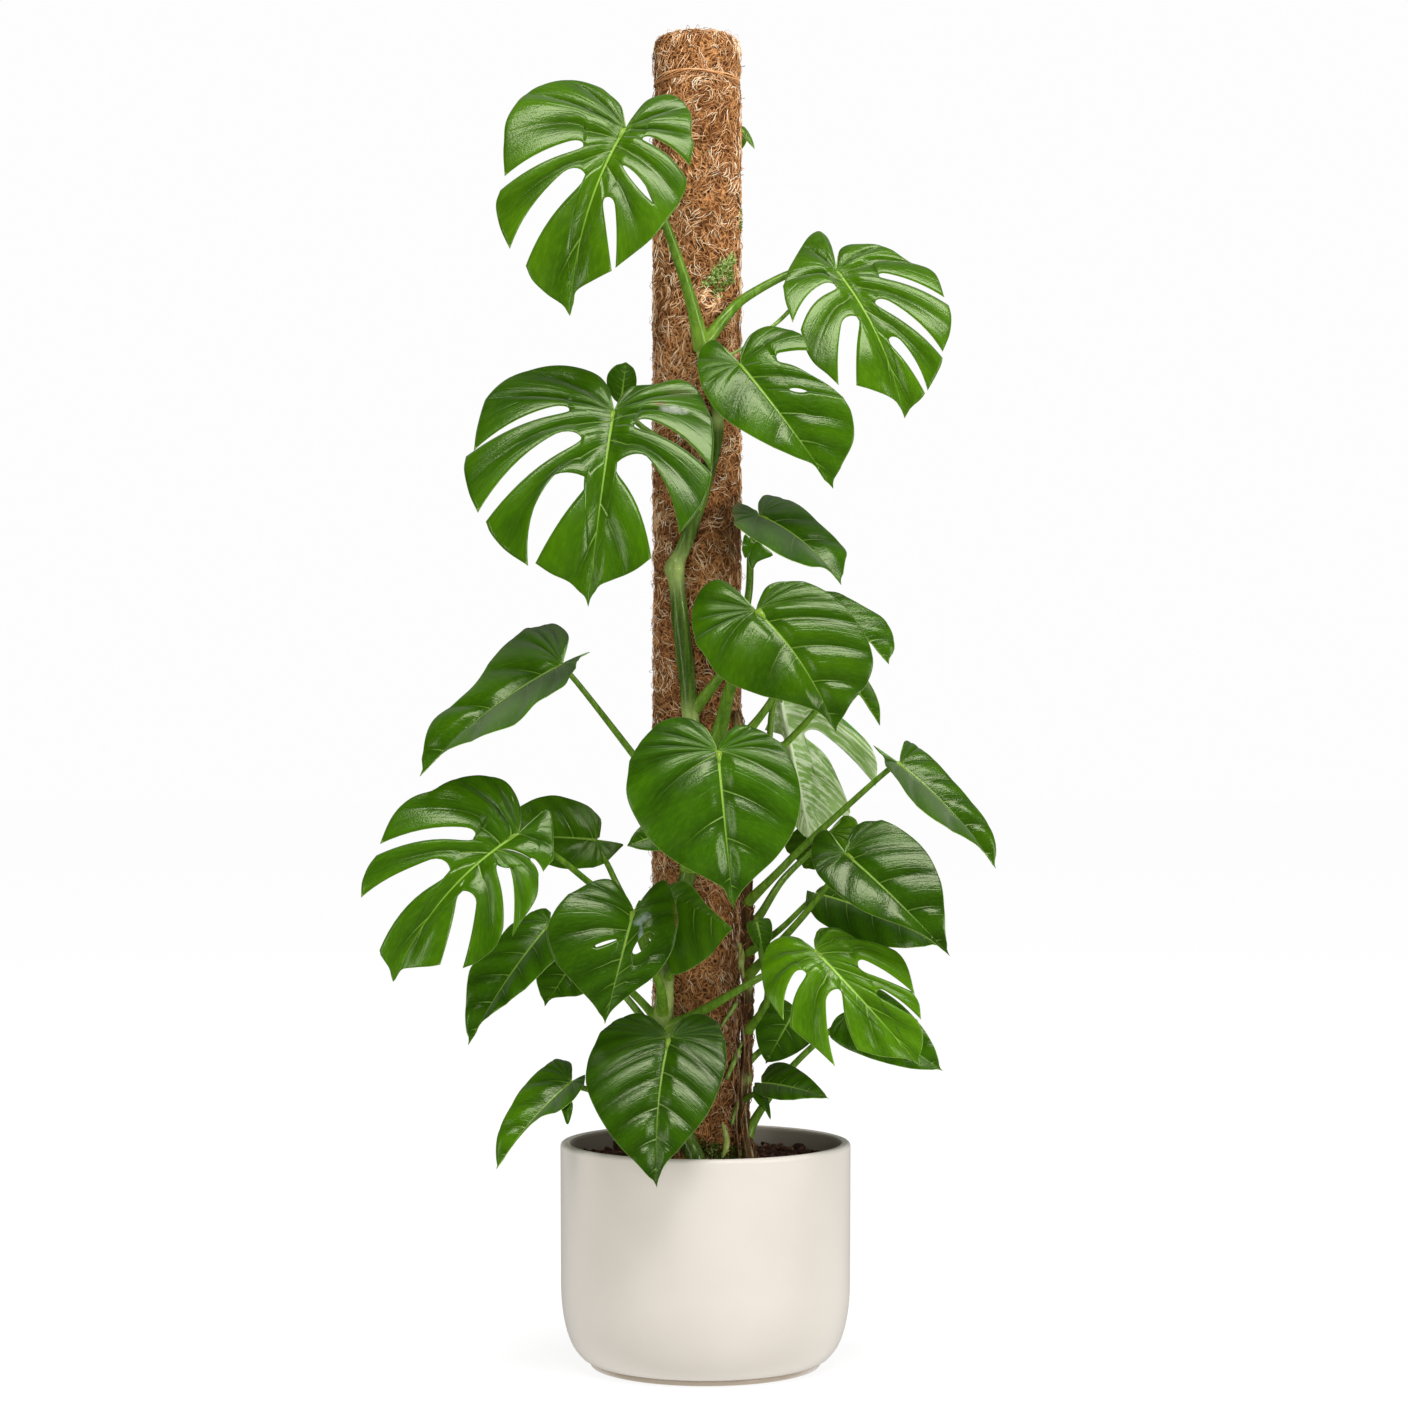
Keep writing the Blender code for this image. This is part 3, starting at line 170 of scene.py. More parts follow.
# Stalks: the look's name, then its dark, its light and its pale colour.
STALKS = {
    "petiole": ("petiole_green", (0.062, 0.145, 0.008), (0.130, 0.250, 0.018), (0.270, 0.400, 0.045)),
    "stem_main": ("stem_green_bark", (0.026, 0.058, 0.006), (0.085, 0.150, 0.018), (0.330, 0.430, 0.120)),
    "stem_side": ("stem_brown_bark", (0.040, 0.016, 0.006), (0.120, 0.062, 0.020), (0.260, 0.330, 0.080)),
    "root": ("aerial_root", (0.060, 0.018, 0.008), (0.230, 0.090, 0.040), (0.420, 0.300, 0.170)),
    "shoot": ("young_shoot", (0.080, 0.170, 0.016), (0.210, 0.360, 0.050), (0.420, 0.540, 0.160)),
    "bud": ("leaf_bud", (0.150, 0.200, 0.020), (0.330, 0.400, 0.070), (0.520, 0.560, 0.240)),
}
# Painted shadows and shade on the coir, at places of the front view: centre x and z, half sizes, strength.
PAINTED_COIR_SHADOWS = [((0.036, 0.945), (0.030, 0.062), 0.65), ((-0.0176, 0.789), (0.008, 0.045), 0.70),
             ((-0.062, 1.460), (0.022, 0.100), 0.50), ((0.030, 0.420), (0.014, 0.100), 0.45),
             ((-0.055, 1.180), (0.014, 0.060), 0.45)]
# Colour of the painted shade on the coir.
PAINTED_COIR_SHADE = (0.090, 0.034, 0.010)
# Tones of loose matter, from its darkest tint to its palest.
COIR_TONES = [(0.0, (0.045, 0.014, 0.004)), (0.22, (0.230, 0.085, 0.022)), (0.52, (0.640, 0.300, 0.105)),
              (0.78, (0.930, 0.590, 0.300)), (1.0, (1.000, 0.900, 0.680))]
MOSS_TONES = [(0.0, (0.090, 0.030, 0.012)), (0.30, (0.060, 0.070, 0.012)), (0.60, (0.130, 0.200, 0.022)),
              (0.85, (0.290, 0.430, 0.090)), (1.0, (0.520, 0.640, 0.230))]
BARK_TONES = [(0.25, (0.014, 0.006, 0.003)), (0.60, (0.052, 0.022, 0.012)), (0.85, (0.125, 0.055, 0.028)),
              (1.0, (0.240, 0.125, 0.068))]
GLAZE = ((0.600, 0.550, 0.484), (0.626, 0.576, 0.510))
GLAZE_SPECK = (0.50, 0.45, 0.37)
GLAZE_PAINTED_SHEEN = (0.770, 0.725, 0.655)   # painted sheen where the pot turns away from view
GLAZE_PAINTED_SHADE = (0.210, 0.185, 0.140)  # painted shade of the inner wall above the soil
FOOT_CLAY = (0.420, 0.350, 0.270)
WOOD = ((0.30, 0.18, 0.09), (0.52, 0.36, 0.21))
FLOOR_GREYS = ((0.175, 0.175, 0.175), (0.185, 0.185, 0.185))

# The studio.
SENSOR, LENS = 36, 81.8
LOOK_UP = 0.555            # degrees that the camera looks up
AMBIENT = 0.31             # light that comes from everywhere
AMBIENT_GLOSS = 0.03       # what glossy surfaces mirror of it
BACKDROP = 0.985           # what the camera sees of it
FLOOR_NEAR = 0.85          # own glow of the white floor by the pot
FLOOR_FAR = 0.925          # and far from it, where the lamps do not reach
FLOOR_HALF = 30            # half the width of the floor
FLOOR_DROP = 0.0005        # how far it lies under the pot
# Soft boxes: name, place, size and glow. They face AIM.
LIGHTS = [("box_top", (0.5, -2.2, 5.0), (3.2, 1.6), 12.0), ("box_right", (2.7, -2.1, 1.4), (0.9, 2.0), 8.4),
          ("box_left", (-2.6, -2.3, 1.4), (0.8, 2.0), 4.6), ("fill", (0.5, -5.2, 0.9), (3.6, 1.6), 2.3)]
AIM = (0, 0, 0.75)

# Edge of a whole half blade from the sinus to the tip, as shares of its width and of its length;
# points before the petiole are shares of the lobe's own length.
HEART = [(0.045, -0.42), (0.17, -0.84), (0.40, -1.00), (0.66, -0.86), (0.88, -0.40), (1.00, 0.08),
         (0.985, 0.26), (0.87, 0.46), (0.67, 0.65), (0.42, 0.81), (0.20, 0.905), (0.08, 0.95), (0.0, 1.0)]
# Stems that climb the pole: angle round it from the front (degrees), height, radius and how far they
# stand off the pole (mm).
STEMS = {
    "stem_main": [(0, 172, 11, 13), (0, 232, 11, 13), (-8, 258, 10.5, 5), (-18, 285, 10.5, 0),
                  (-32, 348, 10, 0), (-36, 384, 10, 0), (-37, 398, 12.5, 0), (-36, 413, 10, 0),
                  (-32, 460, 9.5, 0), (-16, 527, 9.5, 0), (-3, 594, 9.5, 0), (-3, 672, 9.5, 0),
                  (-8, 750, 9.5, 0), (-15, 817, 9.5, 0), (-22, 882, 9.5, 0), (-23, 896, 12, 0),
                  (-20, 908, 9, 0), (-12, 926, 8, 0), (4, 972, 7.5, 0), (15, 1012, 7, 0), (24, 1056, 6.5, 0),
                  (17, 1100, 6.5, 0), (6, 1143, 8, 0), (7, 1164, 5.5, 0)],
    "stem_side": [(56, 172, 8, 13), (56, 232, 8, 13), (58, 262, 7.5, 5), (62, 290, 7, 0), (70, 322, 7, 0),
                  (79, 412, 6.5, 0), (79, 502, 6.5, 0), (70, 581, 6.5, 0), (60, 660, 6, 0), (56, 716, 6, 0),
                  (52, 738, 4, 0)],
}

# Heights of the pale nodes of each stem, and how far their colour spreads (mm).
STEM_NODES = {"stem_main": [(415, 30), (594, 12), (733, 12), (896, 22), (1062, 10), (1140, 14)],
              "stem_side": [(322, 8), (430, 8), (581, 9), (716, 9)]}

# Each leaf: where the petiole meets the blade, the tip and the petiole's way to the stem as
# (across, up, depth), the way that the top faces, the half widths of the left and right side as seen
# with the tip down, the fold and the arch in degrees, and both edges. An edge is a list of lobes with
# a slit between two: (across, up, width) of its inner end, then its bow where that is its own, and
# the outer end where the slit is closed. A leaf without edges is heart-shaped, and lobe says how far
# its two lobes reach past the petiole, as a share of its length. Where lobes cross above the petiole,
# least is how far each may pass the midrib's line, as a share of the half width. thick widens the
# petiole, and bow bends the midrib aside. What a leaf doesn't say is in BLADE.
BLADE = dict(fold=8, curl=0.1, arch=25)
LEAVES = {
    "leaf_01": dict(
        tone="light", base=(-91, 1400, -130), tip=(-154, 1186, -175), face=(-0.05, -1, 0.25),
        half=(135, 90), bow=0.05, thick=1.25,
        petiole=[(-74, 1358, -118), (-47, 1295, -105), (-20, 1216, -80), (-4, 1149, -60)],
        left=[[(-90, 1410), (-96, 1425), (-107, 1437), (-123, 1448), (-156, 1455), (-194, 1445),
            (-220, 1418), (-229, 1381), (-228, 1345)], (-139, 1378, 15, 0.22), [(-233, 1329), (-238, 1312),
            (-233, 1286), (-222, 1262)], (-136, 1346, 26, 0.22), [(-204, 1243), (-196, 1226), (-176, 1207)]],
        right=[[(-83, 1414), (-65, 1432), (-37, 1437), (-18, 1418), (-16, 1391), (-18, 1357)],
            (-72, 1385, 9, 0.18), [(-21, 1342), (-23, 1329), (-32, 1311), (-45, 1293)],
            (-93, 1356, 10, 0.1, -61, 1315), [(-45, 1293), (-60, 1275), (-81, 1257), (-102, 1240)],
            (-114, 1319, 14), [(-106, 1237), (-127, 1226), (-146, 1215), (-155, 1205), (-157, 1195)]]),
    "leaf_02": dict(
        tone="light", base=(149, 1238, -20), tip=(226, 1070, -80), face=(0.1, -1, 0.3), half=(90, 118),
        bow=-0.04, least=-0.12, thick=1.25,
        petiole=[(121, 1240, -5), (90, 1232, -8), (45, 1207, -34), (24, 1187, -52), (-1, 1153, -60)],
        left=[[(145, 1248), (144, 1262), (140, 1273), (135, 1279), (128, 1282), (120, 1278), (112, 1269),
            (103, 1254), (94, 1237), (89, 1221), (91, 1201), (99, 1178)], (149, 1216, 15), [(108, 1170),
            (114, 1148), (124, 1132), (138, 1120), (151, 1107)], (171, 1184, 20, 0.2), [(171, 1107),
            (191, 1101), (215, 1090)]],
        right=[[(150, 1248), (152, 1260), (161, 1266), (175, 1267), (195, 1266), (213, 1260), (230, 1249),
            (243, 1244), (254, 1241), (263, 1232), (271, 1207)], (197, 1229, 11, 0.25), [(276, 1198),
            (279, 1184), (277, 1165), (269, 1145)], (193, 1200, 14), [(269, 1138), (266, 1127),
            (252, 1101)], (208, 1159, 13), [(249, 1098), (240, 1084)]]),
    "leaf_03": dict(
        tone="mid", base=(-104, 1079, -120), tip=(-133, 856, -190), face=(-0.05, -1, 0.3), half=(170, 125),
        thick=1.2,
        petiole=[(-74, 1045, -100), (-40, 1002, -82), (-10, 968, -58)],
        left=[[(-105, 1087), (-109, 1102), (-120, 1116), (-140, 1125), (-165, 1129), (-192, 1126),
            (-222, 1115), (-247, 1095), (-259, 1062), (-263, 1034)], (-155, 1077, 13, 0.25), [(-272, 1027),
            (-274, 1011), (-268, 984), (-258, 962)], (-141, 1046, 23), [(-249, 952), (-243, 938),
            (-226, 919), (-201, 902)], (-138, 1002, 40, 0.42), [(-193, 905), (-175, 893), (-151, 881)]],
        right=[[(-97, 1094), (-83, 1106), (-57, 1108), (-29, 1113), (-7, 1100), (5, 1074), (9, 1045),
            (7, 1010)], (-81, 1059, 17, 0.25), [(7, 1006), (1, 982), (-12, 959), (-30, 938)],
            (-100, 1018, 38), [(-61, 911), (-80, 897), (-106, 886), (-120, 880), (-129, 871)]]),
    "leaf_04": dict(
        tone="mid", base=(39, 1132, -100), tip=(145, 990, -140), face=(0.05, -1, 0.25), half=(75, 95),
        fold=10,
        petiole=[(19, 1127, -88), (-2, 1148, -62)],
        left=[[(29, 1142), (12, 1159), (-3, 1152), (-9, 1134), (-5, 1108), (14, 1077), (55, 1048),
            (98, 1027), (121, 1018), (133, 1011), (140, 1001)]],
        right=[[(41, 1148), (52, 1166), (72, 1175), (96, 1171), (111, 1163), (117, 1146)],
            (82, 1135, 13, 0.15), [(121, 1117), (139, 1108), (156, 1094)], (95, 1102, 7, 0.05, 114, 1093),
            [(156, 1094), (166, 1075), (168, 1045), (154, 1015)]]),
    "leaf_05": dict(
        tone="dark", base=(61, 960, -70), tip=(154, 881, -120), face=(0.15, -0.55, 0.85), half=(70, 70),
        fold=10, curl=0.08, arch=30, bow=-0.03, least=-0.12, thick=1.2,
        petiole=[(52, 926, -62), (48, 864, -64), (28, 796, -66), (-18, 733, -60)],
        left=[[(58, 965), (50, 974), (45, 978), (38, 976), (31, 969), (30, 964), (33, 955), (41, 943),
            (53, 933), (69, 923), (84, 914), (101, 907), (118, 901), (137, 899)]],
        right=[[(62, 965), (60, 972), (62, 977), (67, 982), (77, 982), (94, 977), (113, 965), (132, 948),
            (150, 931), (160, 918), (158, 906)]]),
    "leaf_06": dict(
        tone="mid", base=(57, 852, -150), tip=(148, 713, -185), face=(0.05, -1, 0.25), half=(105, 110),
        fold=6, curl=0.12, bow=-0.05, thick=1.5,
        petiole=[(47, 807, -115), (28, 764, -88), (14, 711, -72), (-12, 669, -60)],
        left=[[(48, 866), (35, 880), (14, 886), (-4, 875), (-14, 857), (-15, 834), (-6, 807), (18, 775),
            (58, 757), (101, 746), (130, 735)]],
        right=[[(62, 866), (71, 879), (94, 885), (122, 881), (146, 867), (166, 846), (183, 820), (190, 793),
            (182, 767), (164, 745)]]),
    "leaf_07": dict(
        tone="mid", base=(132, 864, -60), tip=(208, 791, -90), face=(0.2, -0.8, 0.6), half=(45, 50),
        fold=12, curl=0.12, arch=30,
        petiole=[(107, 813, -46), (75, 750, -40), (47, 703, -34)],
        left=[[(124, 864), (116, 850), (130, 833), (158, 825), (185, 818), (200, 807)]],
        right=[[(130, 873), (150, 872), (176, 858), (198, 846), (210, 830), (214, 809)]]),
    "leaf_08": dict(
        tone="mid", base=(155, 782, -20), tip=(198, 721, -45), face=(0.2, -0.9, 0.4), half=(35, 30),
        fold=12, curl=0.12, arch=30,
        petiole=[(121, 733, -8), (84, 694, -8), (49, 654, -20)],
        left=[[(150, 782), (148, 771), (159, 764), (175, 756), (189, 741)]],
        right=[[(158, 788), (173, 784), (186, 770), (197, 745)]]),
    "leaf_09": dict(
        tone="pale", base=(83, 762, 10), tip=(121, 586, 40), face=(0.1, 1, -0.1), half=(110, 85), fold=6,
        arch=-15,
        petiole=[(75, 737, 4), (69, 682, 2), (53, 620, -8)],
        left=[[(91, 769), (111, 771), (139, 744), (158, 723), (183, 703), (194, 680), (193, 652)],
            (112, 711, 16), [(146, 669), (158, 643), (164, 621), (151, 618), (138, 605)]],
        right=[[(80, 759), (77, 745), (73, 730), (67, 716)], (89, 704, 8, 0.2), [(75, 686), (78, 654),
            (93, 618)]]),
    "leaf_10": dict(
        tone="mid", base=(220, 678, -50), tip=(329, 559, -100), face=(0.45, -0.65, 0.6), half=(40, 62),
        fold=26, curl=0.05,
        petiole=[(207, 671, -52), (116, 589, -60), (84, 557, -52), (50, 518, -28)],
        left=[[(208, 682), (198, 703), (202, 685), (212, 665), (232, 638), (258, 614), (293, 594),
            (317, 578)]],
        right=[[(223, 694), (227, 704), (240, 698), (254, 686), (284, 655), (316, 616), (328, 589)]]),
    "leaf_11": dict(
        tone="mid", base=(-163, 791, -80), tip=(-324, 664, -135), face=(-0.5, -0.6, 0.65), half=(80, 60),
        fold=18, curl=0.05,
        petiole=[(-148, 773, -76), (-83, 690, -62), (-52, 648, -58), (-13, 614, -58)],
        left=[[(-164, 801), (-156, 815), (-157, 827), (-173, 837), (-193, 833), (-215, 822), (-243, 795),
            (-260, 770), (-284, 747), (-312, 720)]],
        right=[[(-154, 796), (-147, 806), (-141, 812), (-141, 801), (-148, 784), (-162, 765), (-193, 746),
            (-218, 721), (-257, 706), (-295, 691), (-310, 686), (-319, 678)]]),
    "leaf_12": dict(
        tone="dark", base=(14, 693, -180), tip=(32, 512, -220), face=(-0.05, -1, 0.25), half=(115, 100),
        fold=6, curl=0.12, thick=1.2,
        petiole=[(7, 648, -140), (-3, 592, -90), (-18, 558, -60)],
        left=[[(7, 707), (-4, 723), (-26, 731), (-54, 723), (-75, 699), (-88, 669), (-88, 637), (-70, 601),
            (-50, 579), (-24, 561), (7, 545), (21, 536), (29, 525)]],
        right=[[(20, 707), (30, 718), (49, 721), (80, 705), (100, 677), (108, 640), (101, 604), (82, 574),
            (57, 550), (44, 537), (36, 525)]]),
    "leaf_13": dict(
        tone="mid", base=(-212, 599, -120), tip=(-354, 431, -165), face=(-0.1, -1, 0.3), half=(140, 80),
        arch=20, bow=0.07,
        petiole=[(-176, 578, -104), (-130, 542, -92), (-74, 495, -78), (-42, 467, -56)],
        left=[[(-209, 610), (-209, 626), (-216, 645), (-229, 659), (-251, 664), (-271, 663), (-291, 657),
            (-309, 647), (-324, 643), (-337, 637), (-350, 626), (-359, 612), (-369, 587)],
            (-263, 592, 19, 0.36), [(-373, 574), (-383, 560), (-389, 544), (-390, 526)],
            (-289, 557, 27, 0.14), [(-369, 467), (-368, 459), (-361, 443)]],
        right=[[(-199, 617), (-185, 627), (-176, 623), (-173, 608), (-172, 582), (-175, 566), (-184, 555)],
            (-198, 569, 4), [(-189, 553), (-190, 532), (-197, 516), (-208, 500), (-219, 482)],
            (-236, 562, 16, 0.18), [(-229, 492), (-233, 479), (-242, 466), (-260, 452), (-275, 446)],
            (-275, 533, 22, 0.2), [(-300, 450), (-312, 448), (-330, 447), (-346, 446), (-355, 439)]]),
    "leaf_14": dict(
        tone="mid", base=(-124, 592, 15), tip=(-242, 594, 30), face=(-0.1, -0.9, 0.5), half=(46, 38),
        fold=10, arch=20,
        petiole=[(-112, 566, 2), (-100, 541, -18), (-74, 490, -45), (-42, 428, -56)],
        left=[[(-120, 595), (-118, 612), (-122, 620), (-133, 630), (-151, 638), (-174, 642), (-193, 638),
            (-212, 628), (-228, 612)]],
        right=[[(-116, 594), (-108, 599), (-98, 601), (-92, 594), (-97, 582), (-113, 566), (-134, 560),
            (-165, 560), (-199, 572)]]),
    "leaf_15": dict(
        tone="dark", base=(-42, 601, -72), tip=(-89, 585, -84), face=(-0.1, -0.95, 0.3), half=(20, 20),
        fold=10, arch=20, lobe=(0.3, 0.3),
        petiole=[(-29, 586, -64), (-15, 575, -58)]),
    "leaf_16": dict(
        tone="dark", base=(-81, 512, -140), tip=(-114, 383, -170), face=(0, -1, 0.25), half=(95, 60),
        curl=0.12,
        petiole=[(-72, 473, -112), (-52, 428, -90), (-45, 390, -56)],
        left=[[(-89, 527), (-105, 546), (-127, 545), (-151, 532), (-170, 512), (-180, 488), (-176, 467),
            (-168, 450)], (-101, 479, 4, 0.1, -129, 465), [(-168, 450), (-148, 428), (-126, 404)]],
        right=[[(-78, 524), (-70, 523), (-62, 537), (-46, 545), (-35, 524), (-31, 495)],
            (-83, 465, 24, 0.3, -63, 489), [(-31, 495), (-38, 466), (-55, 440), (-81, 420), (-97, 407),
            (-108, 396)]]),
    "leaf_17": dict(
        tone="mid", base=(-45, 532, -94), tip=(31, 491, -114), face=(0.1, -1, 0.1), half=(70, 22), fold=6,
        arch=15,
        petiole=[(-35, 484, -87), (-33, 456, -80), (-38, 431, -58)],
        left=[[(-42, 518), (-42, 490), (-44, 462), (-38, 440), (-18, 445), (10, 465)]],
        right=[[(-38, 542), (-24, 545), (-11, 535), (1, 519)]]),
    "leaf_18": dict(
        tone="dark", base=(-176, 497, -25), tip=(-269, 359, -85), face=(-0.3, -0.8, 0.5), half=(70, 50),
        fold=18, curl=0.08,
        petiole=[(-148, 472, -35), (-81, 417, -56), (-47, 377, -54)],
        left=[[(-175, 509), (-183, 514), (-201, 507), (-220, 497), (-238, 475), (-262, 452), (-269, 437),
            (-271, 413), (-272, 389)]],
        right=[[(-169, 499), (-164, 484), (-165, 462), (-181, 445), (-194, 432), (-225, 406), (-253, 385),
            (-262, 373)]]),
    "leaf_19": dict(
        tone="mid", base=(-136, 473, 0), tip=(-182, 403, -20), face=(-0.1, -1, 0.2), half=(45, 40), arch=20,
        petiole=[(-106, 433, -18), (-74, 394, -38), (-46, 354, -54)],
        left=[[(-144, 481), (-165, 479), (-185, 458), (-192, 439), (-189, 422)]],
        right=[[(-126, 473), (-117, 454), (-122, 428), (-141, 416), (-157, 414), (-174, 412)]]),
    "leaf_20": dict(
        tone="mid", base=(-152, 318, -100), tip=(-237, 219, -145), face=(-0.45, -0.6, 0.6), half=(50, 40),
        fold=20, curl=0.05,
        petiole=[(-119, 305, -90), (-74, 288, -72), (-29, 269, -58)],
        left=[[(-151, 329), (-153, 340), (-167, 343), (-181, 336), (-203, 317), (-219, 292), (-233, 264),
            (-237, 243)]],
        right=[[(-142, 320), (-136, 325), (-138, 313), (-151, 297), (-165, 284), (-187, 277), (-215, 262),
            (-229, 249), (-235, 239)]]),
    "leaf_21": dict(
        tone="dark", base=(-41, 368, -130), tip=(-55, 198, -205), face=(-0.05, -1, 0.4), half=(98, 75),
        fold=7, curl=0.12, arch=22, bow=0.03,
        petiole=[(-37, 320, -100), (-28, 264, -58)],
        left=[[(-49, 381), (-62, 391), (-83, 394), (-106, 385), (-124, 363), (-134, 338), (-135, 314),
            (-123, 283), (-101, 249), (-74, 221)]],
        right=[[(-36, 379), (-25, 390), (-8, 395), (11, 387), (23, 363), (22, 331), (5, 286), (-24, 248),
            (-47, 222)]]),
    "leaf_22": dict(
        tone="dark", base=(158, 577, -120), tip=(277, 460, -175), face=(0.1, -1, 0.35), half=(70, 75),
        fold=10, curl=0.12, least=-0.12,
        petiole=[(141, 544, -98), (105, 499, -72), (53, 436, -26)],
        left=[[(156, 582), (149, 588), (142, 599), (137, 603), (130, 602), (123, 594), (120, 583),
            (121, 568), (126, 555), (143, 536), (177, 512), (215, 497), (249, 482)]],
        right=[[(163, 585), (166, 603), (178, 612), (195, 613), (223, 603), (249, 580), (266, 546),
            (271, 510), (272, 485)]]),
    "leaf_23": dict(
        tone="dark", base=(124, 532, -40), tip=(264, 472, -90), face=(0.1, -0.7, 0.7), half=(45, 40),
        fold=10, curl=0.12,
        petiole=[(114, 519, -42), (84, 490, -42), (52, 462, -28)],
        left=[[(120, 540), (115, 533), (118, 512), (132, 497), (170, 477), (220, 469)]],
        right=[[(135, 541), (164, 535), (209, 512), (249, 490)]]),
    "leaf_24": dict(
        tone="light", base=(124, 467, -120), tip=(243, 336, -165), face=(0, -1, 0.3), half=(85, 88),
        fold=10, curl=0.12, arch=22,
        petiole=[(96, 452, -104), (62, 436, -88), (-4, 398, -72), (-42, 377, -56)],
        left=[[(116, 476), (106, 482), (88, 483), (71, 472), (64, 447), (70, 414), (89, 387)],
            (114, 440, 14), [(96, 380), (107, 370), (127, 354), (147, 335)], (150, 422, 18, 0.15),
            [(172, 354), (192, 348), (211, 345), (227, 344), (236, 342)]],
        right=[[(123, 479), (130, 491), (152, 491), (184, 473), (204, 469), (218, 464), (229, 448),
            (237, 417)], (174, 447, 17), [(234, 420), (242, 407), (244, 388)], (194, 417, 12), [(240, 388),
            (246, 371), (245, 352)]]),
    "leaf_25": dict(
        tone="dark", base=(164, 397, -30), tip=(269, 330, -70), face=(0.1, -1, 0.4), half=(40, 40), fold=10,
        arch=20, lobe=(0.2, 0.2),
        petiole=[(150, 383, -30), (98, 335, -32), (58, 279, -30), (41, 250, -30)]),
    "leaf_26": dict(
        tone="dark", base=(63, 317, -70), tip=(140, 299, -120), face=(0.1, -0.8, 0.6), half=(25, 40),
        fold=12,
        petiole=[(58, 307, -55), (48, 297, -30)],
        left=[[(58, 320), (56, 311), (66, 301), (90, 297), (118, 299)]],
        right=[[(64, 325), (73, 337), (90, 339), (107, 331), (124, 317)]]),
    "leaf_27": dict(
        tone="dark", base=(101, 397, -6), tip=(68, 338, -20), face=(-0.1, -1, 0.3), half=(38, 35), arch=20,
        lobe=(0.3, 0.2),
        petiole=[(79, 369, 2), (50, 338, -14)]),
    "leaf_28": dict(
        tone="dark", base=(-96, 1086, -40), tip=(-90, 1134, -52), face=(0, -1, 0.2), half=(16, 17), arch=15,
        petiole=[(-74, 1062, -46), (-29, 1032, -62), (2, 1007, -58)],
        left=[[(-90, 1087), (-81, 1099), (-78, 1112), (-80, 1124), (-85, 1131)]],
        right=[[(-100, 1088), (-108, 1098), (-112, 1109), (-111, 1120), (-105, 1128), (-97, 1133)]]),
    "leaf_29": dict(
        tone="light", base=(40, 1400, 40), tip=(56, 1376, 30), face=(0.3, -0.9, 0.2), half=(5, 5), arch=20,
        lobe=(0.2, 0.2),
        petiole=[(37, 1386, 38), (28, 1364, 34)]),
    "leaf_30": dict(
        tone="mid", base=(58, 499, -48), tip=(66, 462, -53), face=(0.1, -1, 0.2), half=(12, 16), arch=20,
        lobe=(0.2, 0.2),
        petiole=[(64, 456, -52), (70, 411, -38), (50, 374, -26)]),
    "leaf_31": dict(
        tone="light", base=(140, 601, 52), tip=(114, 559, 60), face=(0.05, -1, 0.3), half=(42, 36), arch=20,
        petiole=[(121, 580, 46), (87, 546, 18), (62, 507, -6), (52, 490, -18)],
        left=[[(135, 606), (122, 612), (106, 606), (95, 595), (90, 582), (98, 574), (105, 567), (109, 561)]],
        right=[[(142, 604), (148, 608), (152, 611), (155, 618), (161, 620), (171, 614), (174, 599),
            (168, 580), (152, 567), (133, 560), (121, 558)]]),
}
# Shoots and aerial roots: look, radius, then points as (across, up, depth) of the front view (mm).
SHOOTS = [
    ("root", 1.2, [(40, 399, -20), (44, 354, -24), (41, 308, -30), (46, 263, -36), (45, 232, -38)]),
    ("root", 0.9, [(37, 427, -28), (33, 376, -36), (38, 325, -34), (35, 274, -38), (38, 232, -42)]),
    ("root", 0.8, [(44, 490, -14), (40, 450, -22), (44, 410, -18), (40, 376, -22)]),
    ("shoot", 3.2, [(38, 354, -26), (33, 342, -32), (28, 331, -38), (24, 321, -42)]),
    ("shoot", 3.0, [(41, 304, -22), (37, 292, -29), (33, 281, -33), (30, 270, -37)]),
    ("bud", 2.8, [(19, 271, -50), (23, 258, -51), (24, 246, -54), (19, 232, -58)]),
    ("shoot", 2.4, [(45, 240, -33), (40, 236, -37), (37, 231, -40)]),
    ("shoot", 2.2, [(35, 407, -30), (29, 397, -38), (23, 389, -43), (18, 380, -47)]),
    ("shoot", 2.0, [(48, 381, -8), (44, 369, -15), (40, 359, -22), (37, 351, -30)]),
    ("bud", 3.2, [(39, 475, -18), (41, 461, -17), (40, 449, -19), (43, 435, -16)]),
    ("shoot", 2.4, [(108, 1208, -16), (95, 1192, -24), (78, 1176, -38), (48, 1153, -58), (7, 1131, -64)]),
]
# Small flaps of green that belong to a leaf: its name and their outline in the front view (mm).
FLAPS = [
    ("leaf_05", [(52, 923), (58, 931), (67, 924), (77, 915), (66, 910), (58, 906), (53, 898), (48, 909)]),
    ("leaf_05", [(44, 938), (50, 934), (56, 926), (50, 917), (45, 911), (41, 921)]),
    ("leaf_20", [(-167, 298), (-155, 301), (-150, 290), (-156, 269), (-162, 283)]),
    ("leaf_29", [(37, 1392), (43, 1400), (48, 1393), (46, 1383), (40, 1375), (36, 1379)]),
    ("leaf_26", [(54, 313), (61, 314), (69, 306), (72, 296), (74, 275), (67, 286), (60, 292), (54, 300)]),
]


def spot(across, up, depth):
    """The point at a depth that stands at these millimetres of the front view."""
    flat = np.array([across / 1000, 0.0, up / 1000])
    return EYE + (flat - EYE) * (depth / 1000 - EYE[1]) / -EYE[1]


def eased(x):
    """0 below 0 and 1 above 1, with a smooth rise between."""
    x = np.clip(x, 0, 1)
    return x * x * (3 - 2 * x)


def of_side(pair, side):
    """What belongs to the left half (side 1) or to the right one (side -1)."""
    return pair[0 if side == 1 else 1]


